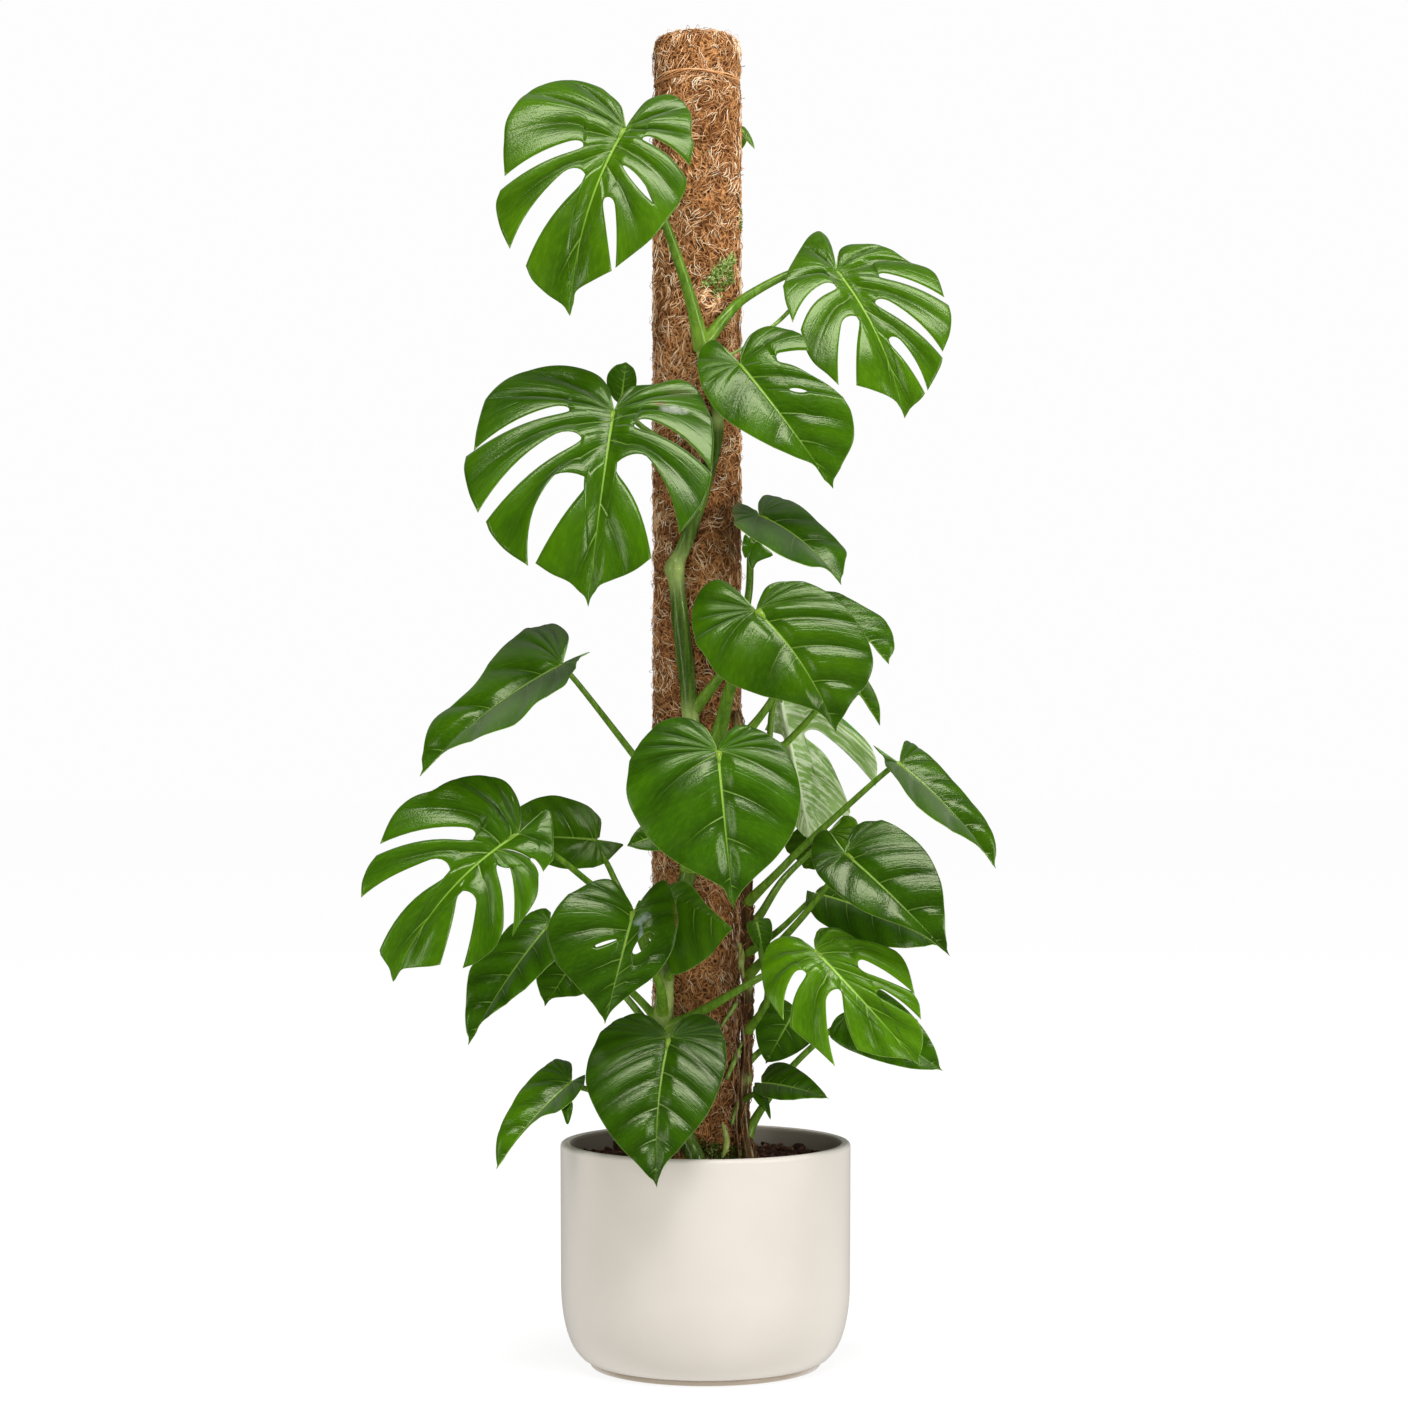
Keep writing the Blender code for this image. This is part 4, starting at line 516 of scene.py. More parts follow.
def smooth_line(points):
    """A reader, by share of its length, for the smooth line through some points, and its length."""
    p = np.array(points, float)
    if len(p) > 2:
        p = np.vstack([2 * p[0] - p[1], p, 2 * p[-1] - p[-2]])
        q = np.linspace(0, 1, SMOOTH, endpoint=False)[:, None]
        runs = []
        for a, b, c, d in zip(p, p[1:], p[2:], p[3:]):
            runs.append(0.5 * (2 * b + (c - a) * q + (2 * a - 5 * b + 4 * c - d) * q ** 2
                               + (3 * b - a - 3 * c + d) * q ** 3))
        p = np.vstack(runs + [p[-2:-1]])
    along = np.concatenate([[0], np.cumsum(np.linalg.norm(np.diff(p, axis=0), axis=1))])

    def read(share):
        return np.stack([np.interp(share, along / along[-1], column) for column in p.T], -1)
    return read, along[-1]


def surface(leaf, u, v):
    """Where the point u across and v along the flat blade stands in space."""
    length = leaf["length"]
    half = np.where(u >= 0, leaf["half"][0], leaf["half"][1]) / 1000
    out = np.abs(u) / half
    along = v / length
    fold = np.radians(leaf["fold"]) * np.clip(0.55 + 0.6 * along, 0.3, 1)
    on = np.clip(along, 0, 1)
    x = u * np.cos(fold) + leaf.get("bow", 0) * length * 4 * on * (1 - on)
    lift = np.abs(u) * np.sin(fold) - leaf["curl"] * half * out ** 2.4
    arch = np.radians(leaf["arch"])
    bend = np.maximum(along, 0) * arch + np.minimum(along, 0) * 0.35 * arch
    y = length / arch * np.sin(bend)
    z = -length / arch * (1 - np.cos(bend))
    p = np.stack([x, y + lift * np.sin(bend), z + lift * np.cos(bend)], -1)
    return p @ leaf["turn"].T + leaf["origin"]


def place(leaf):
    """Sets the blade's length and its turn from the petiole's end, the tip and the facing."""
    base, tip = spot(*leaf["base"]), spot(*leaf["tip"])
    chord = tip - base
    leaf.update(origin=np.zeros(3), turn=np.eye(3), length=np.linalg.norm(chord))
    end = surface(leaf, np.array(1e-9), np.array(leaf["length"]))
    frames = []
    for y, z in ((chord, np.array(leaf["face"], float)), (end, np.array([0.0, 0.0, 1.0]))):
        y = y / np.linalg.norm(y)
        z = z - y * (z @ y)
        z = z / np.linalg.norm(z)
        frames.append(np.stack([np.cross(y, z), y, z], 1))
    leaf["turn"] = frames[0] @ frames[1].T * (np.linalg.norm(chord) / np.linalg.norm(end))
    leaf["origin"] = base


def on_blade(leaf, across, up, side):
    """The u, v of the flat blade that the front view shows at these millimetres."""
    seen = np.array([across / 1000, up / 1000])

    def miss(q):
        p = surface(leaf, q[0], q[1])
        return (EYE + (p - EYE) * -EYE[1] / (p[1] - EYE[1]))[[0, 2]] - seen

    half = of_side(leaf["half"], side)
    q = np.array([side * 0.0004 * half, 0.3 * leaf["length"]])
    for _ in range(30):
        now = miss(q)
        slope = np.stack([(miss(q + way) - now) / NUDGE for way in ([NUDGE, 0], [0, NUDGE])], 1)
        move = np.linalg.lstsq(slope, now, rcond=None)[0]
        size = np.linalg.norm(move)
        q = q - move * min(1, 0.05 / max(size, 1e-9))
        if size < 1e-7:
            break
    least = leaf.get("least", LEAST) if q[1] < 0 else LEAST
    return np.array([max(side * q[0], 0.001 * least * half), q[1]])


def vein(start, end, t, bow):
    """Points of the side veins that leave the midrib at start and reach the edge at end."""
    first = np.stack([0 * start, start], -1)
    middle = 0.5 * (first + end)
    middle[..., 1] -= bow * end[..., 0]
    t = t[..., None]
    return (1 - t) ** 2 * first + 2 * t * (1 - t) * middle + t ** 2 * end


def find_slits(leaf, side, slits, joints, length):
    """For each slit its width, its start on the midrib, the shares of its vein that it spans and its bow."""
    found = []
    for n, slit in enumerate(slits):
        starts = np.linspace(0.0, LAST_VEIN * length, 90)
        ts = np.linspace(0.02, 0.95, 94)
        ends = np.tile(joints[n + 1], (len(ts), 1))
        bow = slit[3] if len(slit) in (4, 6) else VEIN_BOW
        lines = np.stack([vein(np.full_like(ts, start), ends, ts, bow) for start in starts])
        off = np.linalg.norm(lines - on_blade(leaf, slit[0], slit[1], side), axis=2)
        i, j = np.unravel_index(np.argmin(off), off.shape)
        far = 1.0
        if len(slit) > 4:
            stop = on_blade(leaf, slit[-2], slit[-1], side)
            far = ts[np.argmin(np.linalg.norm(lines[i] - stop, axis=1))]
        found.append(dict(width=slit[2] / 1000, start=starts[i], near=ts[j], far=far, bow=bow))
    return found


def slit_side(slit, tau, sign):
    """How far a slit's side stands off its vein, and how far it has gone over to the lobe's corner."""
    if slit["far"] < 1:
        x = np.clip(tau / min(HOLE_REACH, (slit["far"] - slit["near"]) / (1 - slit["near"])), 0, 1)
        return slit["width"] * np.sqrt(x * (1 - x)) ** 1.3, 0.0
    x = min(1.0, tau / 0.22)
    lean = 0.25 * (1 - tau) if sign > 0 else 0.75 * (1 - tau ** 3)
    return slit["width"] * np.sqrt(x * (2 - x)) * lean, tau ** 1.4


def read_edge(leaf, side):
    """The edge of a half blade as the points of each lobe, on the flat blade, and its slits."""
    length = leaf["length"]
    parts = leaf.get(of_side(("left", "right"), side))
    if not parts:
        half, lobe = of_side(leaf["half"], side) / 1000, of_side(leaf["lobe"], side)
        return [[(u * half, v * length * (lobe if v < 0 else 1)) for u, v in HEART]], []
    lobes = [[on_blade(leaf, *point, side) for point in part] for part in parts if isinstance(part, list)]
    lobes[-1].append(np.array([0.0, length]))
    return lobes, [part for part in parts if isinstance(part, tuple)]


def measure(lobes):
    """Adds each point's distance from the blade's edge and the distance of its two side veins."""
    for n, lobe in enumerate(lobes):
        grid = lobe["grid"]
        steps = np.linalg.norm(np.diff(grid, axis=0), axis=2)
        to_edge = np.vstack([np.cumsum(steps[::-1], axis=0)[::-1], np.zeros((1, grid.shape[1]))])
        for m, column in ((n - 1, 0), (n + 1, -1)):
            if 0 <= m < len(lobes):
                facing = lobes[m]["grid"][:, -1 if column == 0 else 0]
                free = np.linalg.norm(facing - grid[:, column], axis=1) > 0.0003
            else:
                free = np.full(len(grid), m < 0)
            from_side = np.linalg.norm(grid - grid[:, column][:, None], axis=2)
            to_edge = np.minimum(to_edge, np.where(free[:, None], from_side, 1.0))
        across, onward = np.gradient(lobe["bare"], axis=1), np.gradient(lobe["bare"], axis=0)
        onward /= np.maximum(np.linalg.norm(onward, axis=2, keepdims=True), 1e-9)
        apart = np.abs(across[..., 0] * onward[..., 1] - across[..., 1] * onward[..., 0])
        lobe.update(edge=to_edge, gap=apart / np.gradient(lobe["vein"]))


def half_blade(leaf, side):
    """One half of the flat blade: for each lobe a grid of points with what each point knows."""
    length = leaf["length"]
    outline, slits = read_edge(leaf, side)
    whole = len(outline) == 1
    edges = [smooth_line(lobe) for lobe in outline]
    sizes = np.cumsum([0] + [size for _, size in edges])
    at = sizes / sizes[-1]
    read = [edge for edge, _ in edges]
    joints = [read[0](0.0)] + [0.5 * (a(1.0) + b(0.0)) for a, b in zip(read, read[1:])] + [read[-1](1.0)]
    ways = [b(0.25) - a(0.75) for a, b in zip(read, read[1:])]
    ways = [np.zeros(2)] + [way / np.linalg.norm(way) for way in ways] + [np.zeros(2)]
    end = dict(width=0.0, near=NEAR, far=1.0, bow=WHOLE_BOW if whole else VEIN_BOW)
    slits = [dict(end, start=0.0), *find_slits(leaf, side, slits, joints, length),
             dict(end, start=LAST_VEIN * length)]
    knots = [(place_of, slit["start"]) for place_of, slit in zip(at, slits)]
    if at[1] > BASAL:
        knots.insert(1, (min(BASAL, at[1] * 0.8), 0.0))
    knots = np.array(knots)
    knots[:, 1] = np.maximum.accumulate(knots[:, 1])
    levels = [(rise, 0.0) for rise in INNER] + [(1.0, step) for step in (OUTER if whole else SPLIT)]
    lobes, count = [], 0
    for n, edge in enumerate(read):
        dense = 1.0 if whole else FEWER if n == 0 else MORE if n == len(read) - 1 else 1.0
        veins = max(1, round(PLEATED.get(leaf["name"], VEINS) * dense * (at[n + 1] - at[n])))
        cols = 2 * veins * max(1, round((sizes[n + 1] - sizes[n]) / FACET / 2 / veins))
        share = np.linspace(0, 1, cols + 1)
        start = np.interp(at[n] + (at[n + 1] - at[n]) * share, knots[:, 0], knots[:, 1])
        rim = edge(share)
        if whole:
            start = np.clip(rim[:, 1] - VEIN_LEAN * rim[:, 0], 0, LAST_VEIN * length)
            start = np.maximum.accumulate(start)
        weights = ((1 - share) ** 2, share ** 2)
        pulls = (joints[n] - rim[0], joints[n + 1] - rim[-1])
        target = rim + weights[0][:, None] * pulls[0] + weights[1][:, None] * pulls[1]
        near, bow = (slits[n][key] + (slits[n + 1][key] - slits[n][key]) * share for key in ("near", "bow"))
        grid, bare, reach = [], [], []
        for rise, tau in levels:
            t = near * rise + (1 - near) * tau
            p = vein(start, target, t, bow)
            bare.append(p)
            for m, sign in ((n, 1), (n + 1, -1)):
                weight = weights[m - n]
                off, gone = slit_side(slits[m], tau, sign)
                p = p + weight[:, None] * sign * off * ways[m]
                p = p - (weight * gone * t)[:, None] * pulls[m - n]
            grid.append(p)
            reach.append(t)
        grid = np.array(grid)
        grid[..., 0] *= 1 - DRIP * eased((grid[..., 1] / length - 0.925) / 0.04)
        spread = share ** 1.5 if n and n == len(read) - 1 else share
        lobes.append(dict(grid=grid, bare=np.array(bare), reach=np.array(reach), vein=count + spread * veins))
        count += veins
    measure(lobes)
    return lobes


def facts_of(leaf, lobe):
    """The facts of a lobe's points: side vein passed, share of the way out, and distances in millimetres."""
    grid = lobe["grid"]
    return np.stack([np.broadcast_to(lobe["vein"], grid.shape[:2]), lobe["reach"], 1000 * lobe["gap"],
                     1000 * lobe["edge"], 1000 * np.hypot(grid[..., 0], np.minimum(grid[..., 1], 0)),
                     grid[..., 1] / leaf["length"]], -1)


def relief(leaf, side, facts):
    """Height of the blade's top over its smooth surface: bulges between the veins, a groove, slow waves."""
    passed, reach, gap, _, rib, along = np.moveaxis(facts, -1, 0)
    phase = np.sin(np.pi * np.abs(passed % 1 - 0.5)) ** 0.85
    fold = np.abs(np.sin(2 * np.pi * passed)) ** 0.8 * 0.16
    rise = eased(rib / 16) * eased(reach / 0.18)
    split = "left" in leaf or "right" in leaf
    height = BULGE * PLEAT.get(leaf["name"], 1.0 if split else WHOLE_PLEAT) * np.minimum(gap, WIDEST_GAP)
    height *= rise
    height *= (phase + fold) * (1 - 0.75 * reach ** 4)
    if split:
        height *= 1 + 0.5 * eased((along - 0.45) / 0.2)
    height -= 0.9 * np.exp(-(rib / 2.2) ** 2) * np.clip(1.1 - along, 0, 1)
    shift = leaf["seed"]
    size = WAVE * 1000 * leaf["length"]
    slow = np.sin(1.9 * passed + 2 * side + shift) + 0.6 * np.sin(4.1 * passed + 1.3 * shift + side)
    height += size * reach ** 2.5 * slow * np.clip(1.15 - along, 0.2, 1)
    return height / 1000


def blade_points(leaf, flat, facts, side):
    """The blade's points in space, lifted by their relief."""
    u, v = flat[..., 0], flat[..., 1]
    p = surface(leaf, u, v)
    lift = np.cross(surface(leaf, u + NUDGE, v) - p, surface(leaf, u, v + NUDGE) - p)
    lift /= np.maximum(np.linalg.norm(lift, axis=-1, keepdims=True), 1e-20)
    return p + lift * relief(leaf, side, facts)[..., None]


def blade_sheet(leaf):
    """Points, facts and faces of the blade as one thin sheet, its halves joined along the midrib."""
    place(leaf)
    lobes = [(side, lobe) for side in (1, -1) for lobe in half_blade(leaf, side)]
    rib = np.unique(np.round(np.concatenate([lobe["grid"][0, :, 1] for _, lobe in lobes]), 6))
    points, facts, faces = [], [], []
    for side, lobe in lobes:
        grid = lobe["grid"]
        known = facts_of(leaf, lobe)
        rows, cols = grid.shape[:2]
        first = len(points)
        flat = grid * (side, 1)
        flat[0, :, 0] = side * ON_RIB
        points += list(blade_points(leaf, flat, known, side).reshape(-1, 3))
        facts += list(known.reshape(-1, len(FACTS)))
        for i in range(rows - 1):
            for j in range(cols - 1):
                a = first + i * cols + j
                ring = [a, a + 1, a + cols + 1, a + cols]
                low, high = grid[0, j, 1], grid[0, j + 1, 1]
                if i == 0:
                    between = [v for v in rib if low + 2e-5 < v < high - 2e-5]
                    for v in between:
                        fact = known[0, j] + (known[0, j + 1] - known[0, j]) * (v - low) / (high - low)
                        here = np.array([side * ON_RIB, v])
                        ring.insert(1 + between.index(v), len(points))
                        points.append(blade_points(leaf, here, fact, side))
                        facts.append(fact)
                faces.append(ring[::-1] if side == 1 else ring)
    return points, facts, faces


def weld(points, facts, faces):
    """The sheet as a bmesh, its equal points joined; a second list gives the facts of each point."""
    bm = bmesh.new()
    number = bm.verts.layers.int.new("number")
    verts = []
    for n, p in enumerate(points):
        vert = bm.verts.new(p)
        vert[number] = n
        verts.append(vert)
    for face in faces:
        bm.faces.new([verts[i] for i in face])
    bmesh.ops.remove_doubles(bm, verts=bm.verts, dist=0.00003)
    bmesh.ops.dissolve_degenerate(bm, edges=bm.edges, dist=0.00002)
    bm.normal_update()
    bm.verts.index_update()
    return bm, np.array([facts[vert[number]] for vert in bm.verts])


def blade_mesh(leaf):
    """The closed blade: top, underside with its ridges, and rim. Faces come with their material's number."""
    bm, facts = weld(*blade_sheet(leaf))
    passed, reach, gap, edge, rib, along = facts.T
    place_of = np.array([vert.co for vert in bm.verts])
    normal = np.array([vert.normal for vert in bm.verts])
    thin = 0.5 * SKIN * (0.45 + 0.55 * np.clip(edge / 2.0, 0, 1))
    ridge = RIB_R * np.clip(1.03 - along, 0, 1) ** 0.8 * np.exp(-(rib / 2.0) ** 2) * np.clip(edge / 4, 0, 1)
    off = np.abs(passed % 1 - 0.5) * gap
    ridge += 0.0005 * np.exp(-(off / 1.2) ** 2) * (1 - reach) * np.clip(reach * 12, 0, 1)
    top = place_of + normal * thin[:, None]
    under = place_of - normal * (thin + ridge)[:, None]
    count = len(place_of)
    faces, slots = [], []
    for face in bm.faces:
        ring = [vert.index for vert in face.verts]
        faces += [ring, [count + i for i in reversed(ring)]]
        slots += [TOP, UNDER]
        for loop in face.loops:
            if loop.edge.is_boundary:
                p, q = loop.vert.index, loop.link_loop_next.vert.index
                faces.append([q, p, count + p, count + q])
                slots.append(RIM)
    bm.free()
    return np.vstack([top, under]), np.vstack([facts, facts]), faces, slots


# meshes
def add_piece(name, slot, points, faces, materials, slots=None, replaces=(), smooth=True, **facts):
    """A mesh object of the plant, riding on its body, with facts of its points."""
    mesh = bpy.data.meshes.new(name)
    mesh.from_pydata(np.asarray(points, float).tolist(), [], [list(face) for face in faces])
    for material in materials:
        mesh.materials.append(material)
    if slots is not None:
        mesh.polygons.foreach_set("material_index", np.asarray(slots, np.int32))
    mesh.polygons.foreach_set("use_smooth", np.full(len(mesh.polygons), smooth))
    for key, values in facts.items():
        mesh.attributes.new(key, "FLOAT", "POINT").data.foreach_set("value", np.asarray(values, np.float32))
    mesh.update()
    made = bpy.data.objects.new(name, mesh)
    bpy.context.scene.collection.objects.link(made)
    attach(made, "root")
    if replaces:
        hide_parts(*replaces)


def ring_faces(rings, sides, first=0):
    """Quads between rings of points that follow each other."""
    faces = []
    for n in range(rings - 1):
        for k in range(sides):
            a, b = first + n * sides + k, first + n * sides + (k + 1) % sides
            faces.append((a, b, b + sides, a + sides))
    return faces


def tube(points, radii, sides):
    """Points, faces and each point's share of the length of a closed rod through some points."""
    points = np.asarray(points, float)
    radii = np.asarray(radii, float)
    ways = np.gradient(points, axis=0)
    ways /= np.linalg.norm(ways, axis=1, keepdims=True)
    across = np.array(Vector(ways[0]).orthogonal())
    ring = 2 * np.pi * np.arange(sides) / sides
    rings = []
    for point, way, radius in zip(points, ways, radii):
        across = across - way * (across @ way)
        across /= np.linalg.norm(across)
        side = np.cross(way, across)
        rings.append(point + radius * (np.cos(ring)[:, None] * across + np.sin(ring)[:, None] * side))
    count = len(points)
    caps = [tuple(range(sides))[::-1], tuple(range((count - 1) * sides, count * sides))]
    faces = ring_faces(count, sides) + caps
    return np.concatenate(rings), faces, np.repeat(np.linspace(0, 1, count), sides)


def joined(parts):
    """Several (points, faces, values) as one."""
    points, faces, values = [], [], []
    count = 0
    for p, f, v in parts:
        points.append(np.asarray(p, float))
        faces += [[i + count for i in face] for face in f]
        values.append(np.asarray(v, float))
        count += len(p)
    return np.concatenate(points), faces, np.concatenate(values)


def turned(profile, steps, centre_x=0.0, rough=None):
    """A round solid from its outline in (radius, height), from the axis down the outside and back to it.

    rough(points) gives how far each point of the surface moves outwards.
    """
    profile = np.array(profile, float)
    ring = 2 * np.pi * np.arange(steps) / steps
    body = profile[1:-1]
    way = np.gradient(profile, axis=0)[1:-1]
    out = np.stack([-way[:, 1], way[:, 0]], -1)
    out /= np.maximum(np.linalg.norm(out, axis=1, keepdims=True), 1e-12)
    spin = np.stack([np.sin(ring), -np.cos(ring)], -1)
    points = np.concatenate([body[:, None, :1] * spin, np.repeat(body[:, None, 1:], steps, 1)], -1)
    if rough:
        lift = rough(points)[..., None]
        points += lift * np.concatenate([out[:, None, :1] * spin, np.repeat(out[:, None, 1:], steps, 1)], -1)
    points = np.vstack([points.reshape(-1, 3), [(0, 0, profile[0, 1]), (0, 0, profile[-1, 1])]])
    points[:, 0] += centre_x
    rows = len(body)
    faces = [(a, d, c, b) for a, b, c, d in ring_faces(rows, steps)]
    for k in range(steps):
        faces.append((rows * steps, k, (k + 1) % steps))
        faces.append((rows * steps + 1, (rows - 1) * steps + (k + 1) % steps, (rows - 1) * steps + k))
    return points, faces


def fine(profile, step):
    """The outline with points added so that none of its stretches is longer than a step."""
    made = [profile[0]]
    for a, b in zip(profile, profile[1:]):
        count = max(1, math.ceil(math.dist(a, b) / step))
        made += [(a[0] + (b[0] - a[0]) * n / count, a[1] + (b[1] - a[1]) * n / count)
                 for n in range(1, count + 1)]
    return made


# materials
class Look:
    """One procedural material, its nodes made with short calls."""

    def __init__(self, name, rough, specular=0.5, gloss=None):
        self.material = bpy.data.materials.new(name)
        self.material.use_nodes = True
        self.tree = self.material.node_tree
        self.shader = self.tree.nodes["Principled BSDF"]
        self.shader.inputs["Roughness"].default_value = rough
        self.shader.inputs["Specular IOR Level"].default_value = specular
        if gloss:
            self.shader.inputs["Specular Tint"].default_value = gloss

    def node(self, kind, inputs=(), **settings):
        made = self.tree.nodes.new("ShaderNode" + kind)
        for key, value in settings.items():
            setattr(made, key, value)
        for key, value in dict(inputs).items():
            self.put(made.inputs[key], value)
        return made

    def put(self, socket, value):
        if isinstance(value, bpy.types.NodeSocket):
            self.tree.links.new(value, socket)
        elif isinstance(value, tuple) and len(value) == 3 and socket.type == "RGBA":
            socket.default_value = (*value, 1)
        else:
            socket.default_value = value

    def fact(self, name):
        return self.node("Attribute", attribute_name=name).outputs["Fac"]

    def where(self, stretch=(1, 1, 1)):
        place_of = self.node("TexCoord").outputs["Object"]
        return self.node("Mapping", {"Vector": place_of, "Scale": stretch}).outputs["Vector"]

    def axis(self, name):
        return self.node("SeparateXYZ", {0: self.where()}).outputs[name]

    def reach(self, stretch=(1, 1, 1)):
        """Distance from the origin."""
        return self.node("VectorMath", {0: self.where(stretch)}, operation="LENGTH").outputs["Value"]

    def slant(self, blend):
        """0 where a surface faces the viewer, 1 where it is seen edge-on."""
        return self.node("LayerWeight", {"Blend": blend}).outputs["Facing"]

    def maths(self, operation, a, b=0.0, clamp=False):
        return self.node("Math", {0: a, 1: b}, operation=operation, use_clamp=clamp).outputs[0]

    def add(self, a, b):
        return self.maths("ADD", a, b)

    def less(self, a, b):
        return self.maths("SUBTRACT", a, b)

    def times(self, a, b):
        return self.maths("MULTIPLY", a, b)

    def noise(self, scale, detail=4.0, rough=0.5, vector=None):
        inputs = {"Vector": vector or self.where(), "Scale": scale, "Detail": detail, "Roughness": rough}
        return self.node("TexNoise", inputs).outputs["Fac"]

    def cells(self, scale, vector=None, feature="F1"):
        found = self.node("TexVoronoi", {"Vector": vector or self.where(), "Scale": scale}, feature=feature)
        return found.outputs["Distance"]

    def band(self, value, low, high, top=1.0):
        """0 where the value is low, rising smoothly to top where it is high; low may lie above high."""
        inputs = {"Value": value, "From Min": low, "From Max": high, "To Max": top}
        return self.node("MapRange", inputs, interpolation_type="SMOOTHSTEP").outputs["Result"]

    def line(self, off, wide, outer, inner, top=1.0):
        """top within a line this wide, 0 beyond its soft edge; off is the distance from its middle."""
        return self.band(off, self.add(wide, outer), self.less(wide, inner), top)

    def patch(self, centre, size, lean, most):
        """A ragged oval round a place of the front view: most inside it, 0 outside."""
        across = self.less(self.axis("X"), centre[0])
        up = self.less(self.less(self.axis("Z"), centre[1]), self.times(across, lean))
        far = self.times(self.noise(110.0, 3.0, 0.7), 2.2)
        for way, half in ((across, size[0]), (up, size[1])):
            share = self.maths("DIVIDE", way, half)
            far = self.add(far, self.times(share, share))
        return self.band(far, 2.0, 0.9, most)

    def mix(self, share, a, b, way="MIX"):
        found = self.node("Mix", data_type="RGBA", blend_type=way)
        for index, value in ((0, share), (6, a), (7, b)):
            self.put(found.inputs[index], value)
        return found.outputs[2]

    def ramp(self, value, stops):
        found = self.node("ValToRGB", {"Fac": value})
        while len(found.color_ramp.elements) < len(stops):
            found.color_ramp.elements.new(0.5)
        for element, (at, colour) in zip(found.color_ramp.elements, stops):
            element.position = at
            element.color = (*colour, 1)
        return found.outputs["Color"]

    def finish(self, colour, height=None, depth=0.001, rough=None, strength=1.0):
        self.put(self.shader.inputs["Base Color"], colour)
        if rough is not None:
            self.put(self.shader.inputs["Roughness"], rough)
        if height is not None:
            bump = self.node("Bump", {"Height": height, "Distance": depth, "Strength": strength})
            self.put(self.shader.inputs["Normal"], bump.outputs["Normal"])
        return self.material


def vein_facts(look, across, onward, scale):
    """Share of the way between two side veins, distance from one, share of the way out, and streaks."""
    passed, reach = look.fact("vein"), look.fact("reach")
    half = look.maths("ABSOLUTE", look.less(look.maths("FRACT", passed), 0.5))
    off = look.times(half, look.fact("gap"))
    grain = look.node("CombineXYZ", {"X": look.times(passed, across), "Y": look.times(reach, onward)})
    return passed, half, off, reach, look.noise(scale, 3.0, 0.6, grain.outputs[0])


def leaf_top(tone):
    """Waxy upper side: pale midrib, side veins with painted shade in their grooves and pads painted lighter
    between them, a thin pale margin, and a painted sheen where it is seen edge-on.
    """
    deep, fresh = TOPS[tone]
    look = Look("leaf_top_" + tone, 0.22, 0.40, TOP_GLOSS)
    passed, half, off, reach, streak = vein_facts(look, 9.0, 5.0, 1.6)
    side_vein = look.line(off, look.less(0.85, look.times(reach, 0.70)), 0.35, 0.45)
    side_vein = look.times(side_vein, look.band(reach, 0.95, 0.0, 0.75))
    along = look.fact("along")
    rib = look.line(look.fact("rib"), look.less(1.5, look.times(along, 1.25)), 0.5, 0.5)
    rib = look.times(rib, look.band(along, 1.10, 0.10, 0.92))
    margin = look.band(look.fact("edge"), 0.8, 0.25, 0.32)
    cloud = look.noise(14.0, 2.0, 0.5)
    share = look.add(look.band(cloud, 0.30, 0.70, 0.40), look.band(streak, 0.38, 0.70, 0.30))
    # Painted light: the pads between the side veins are lighter towards their middle.
    share = look.add(share, look.band(half, 0.10, 0.48, 0.30))
    colour = look.mix(share, deep, fresh)
    # Painted shade in the grooves along the side veins.
    groove = look.times(look.band(half, 0.17, 0.02, 0.42), look.band(reach, 1.0, 0.55))
    colour = look.mix(groove, colour, tuple(0.55 * c for c in deep))
    colour = look.mix(side_vein, colour, tuple(0.62 * f + 0.38 * r for f, r in zip(fresh, RIB_GREEN)))
    colour = look.mix(rib, colour, RIB_GREEN)
    colour = look.mix(margin, colour, EDGE_GREEN)
    # The marks paint blemishes, and one of them a painted highlight.
    for owner, *oval, stain_and_highlight in MARKS:
        if owner == tone:
            colour = look.mix(look.patch(*oval), colour, stain_and_highlight)
    colour = look.mix(1.0, colour, look.fact("shade"), "MULTIPLY")
    # Painted sheen: the blade's colour turns paler where it is seen edge-on.
    colour = look.mix(look.band(look.slant(0.35), 0.20, 0.66, 0.68), colour, PAINTED_SHEEN_GREEN)
    fine_vein = look.band(look.maths("PINGPONG", passed, 0.125), 0.0, 0.02)
    height = look.add(look.times(look.cells(420.0), 0.20), look.times(streak, 0.9))
    height = look.add(height, look.times(fine_vein, 0.25))
    height = look.less(height, look.times(side_vein, 0.8))
    rough = look.add(0.13, look.times(look.noise(45.0), 0.15))
    return look.finish(colour, height, 0.0007, rough, 0.45)


def leaf_under(tone):
    """Paler matte underside with raised pale veins."""
    deep, fresh, line, streaked = UNDERS[tone]
    look = Look("leaf_under_" + tone, 0.55, 0.4)
    _, _, off, reach, streak = vein_facts(look, 5.0, 2.2, 1.5)
    side_vein = look.line(off, look.less(1.6, look.times(reach, 1.1)), 0.5, 0.4, 0.7)
    rib = look.line(look.fact("rib"), look.less(2.4, look.times(look.fact("along"), 1.8)), 0.7, 0.5)
    colour = look.mix(look.band(look.noise(14.0), 0.3, 0.7), deep, fresh)
    for share in (look.band(streak, 0.44, 0.64, streaked), side_vein, rib):
        colour = look.mix(share, colour, line)
    return look.finish(colour, look.add(look.cells(380.0), streak), 0.0005, None, 0.6)


def leaf_rim():
    look = Look("leaf_rim", 0.5)
    return look.finish(look.mix(look.noise(60.0), EDGE_GREEN, RIM_GREEN), look.noise(400.0), 0.0002)


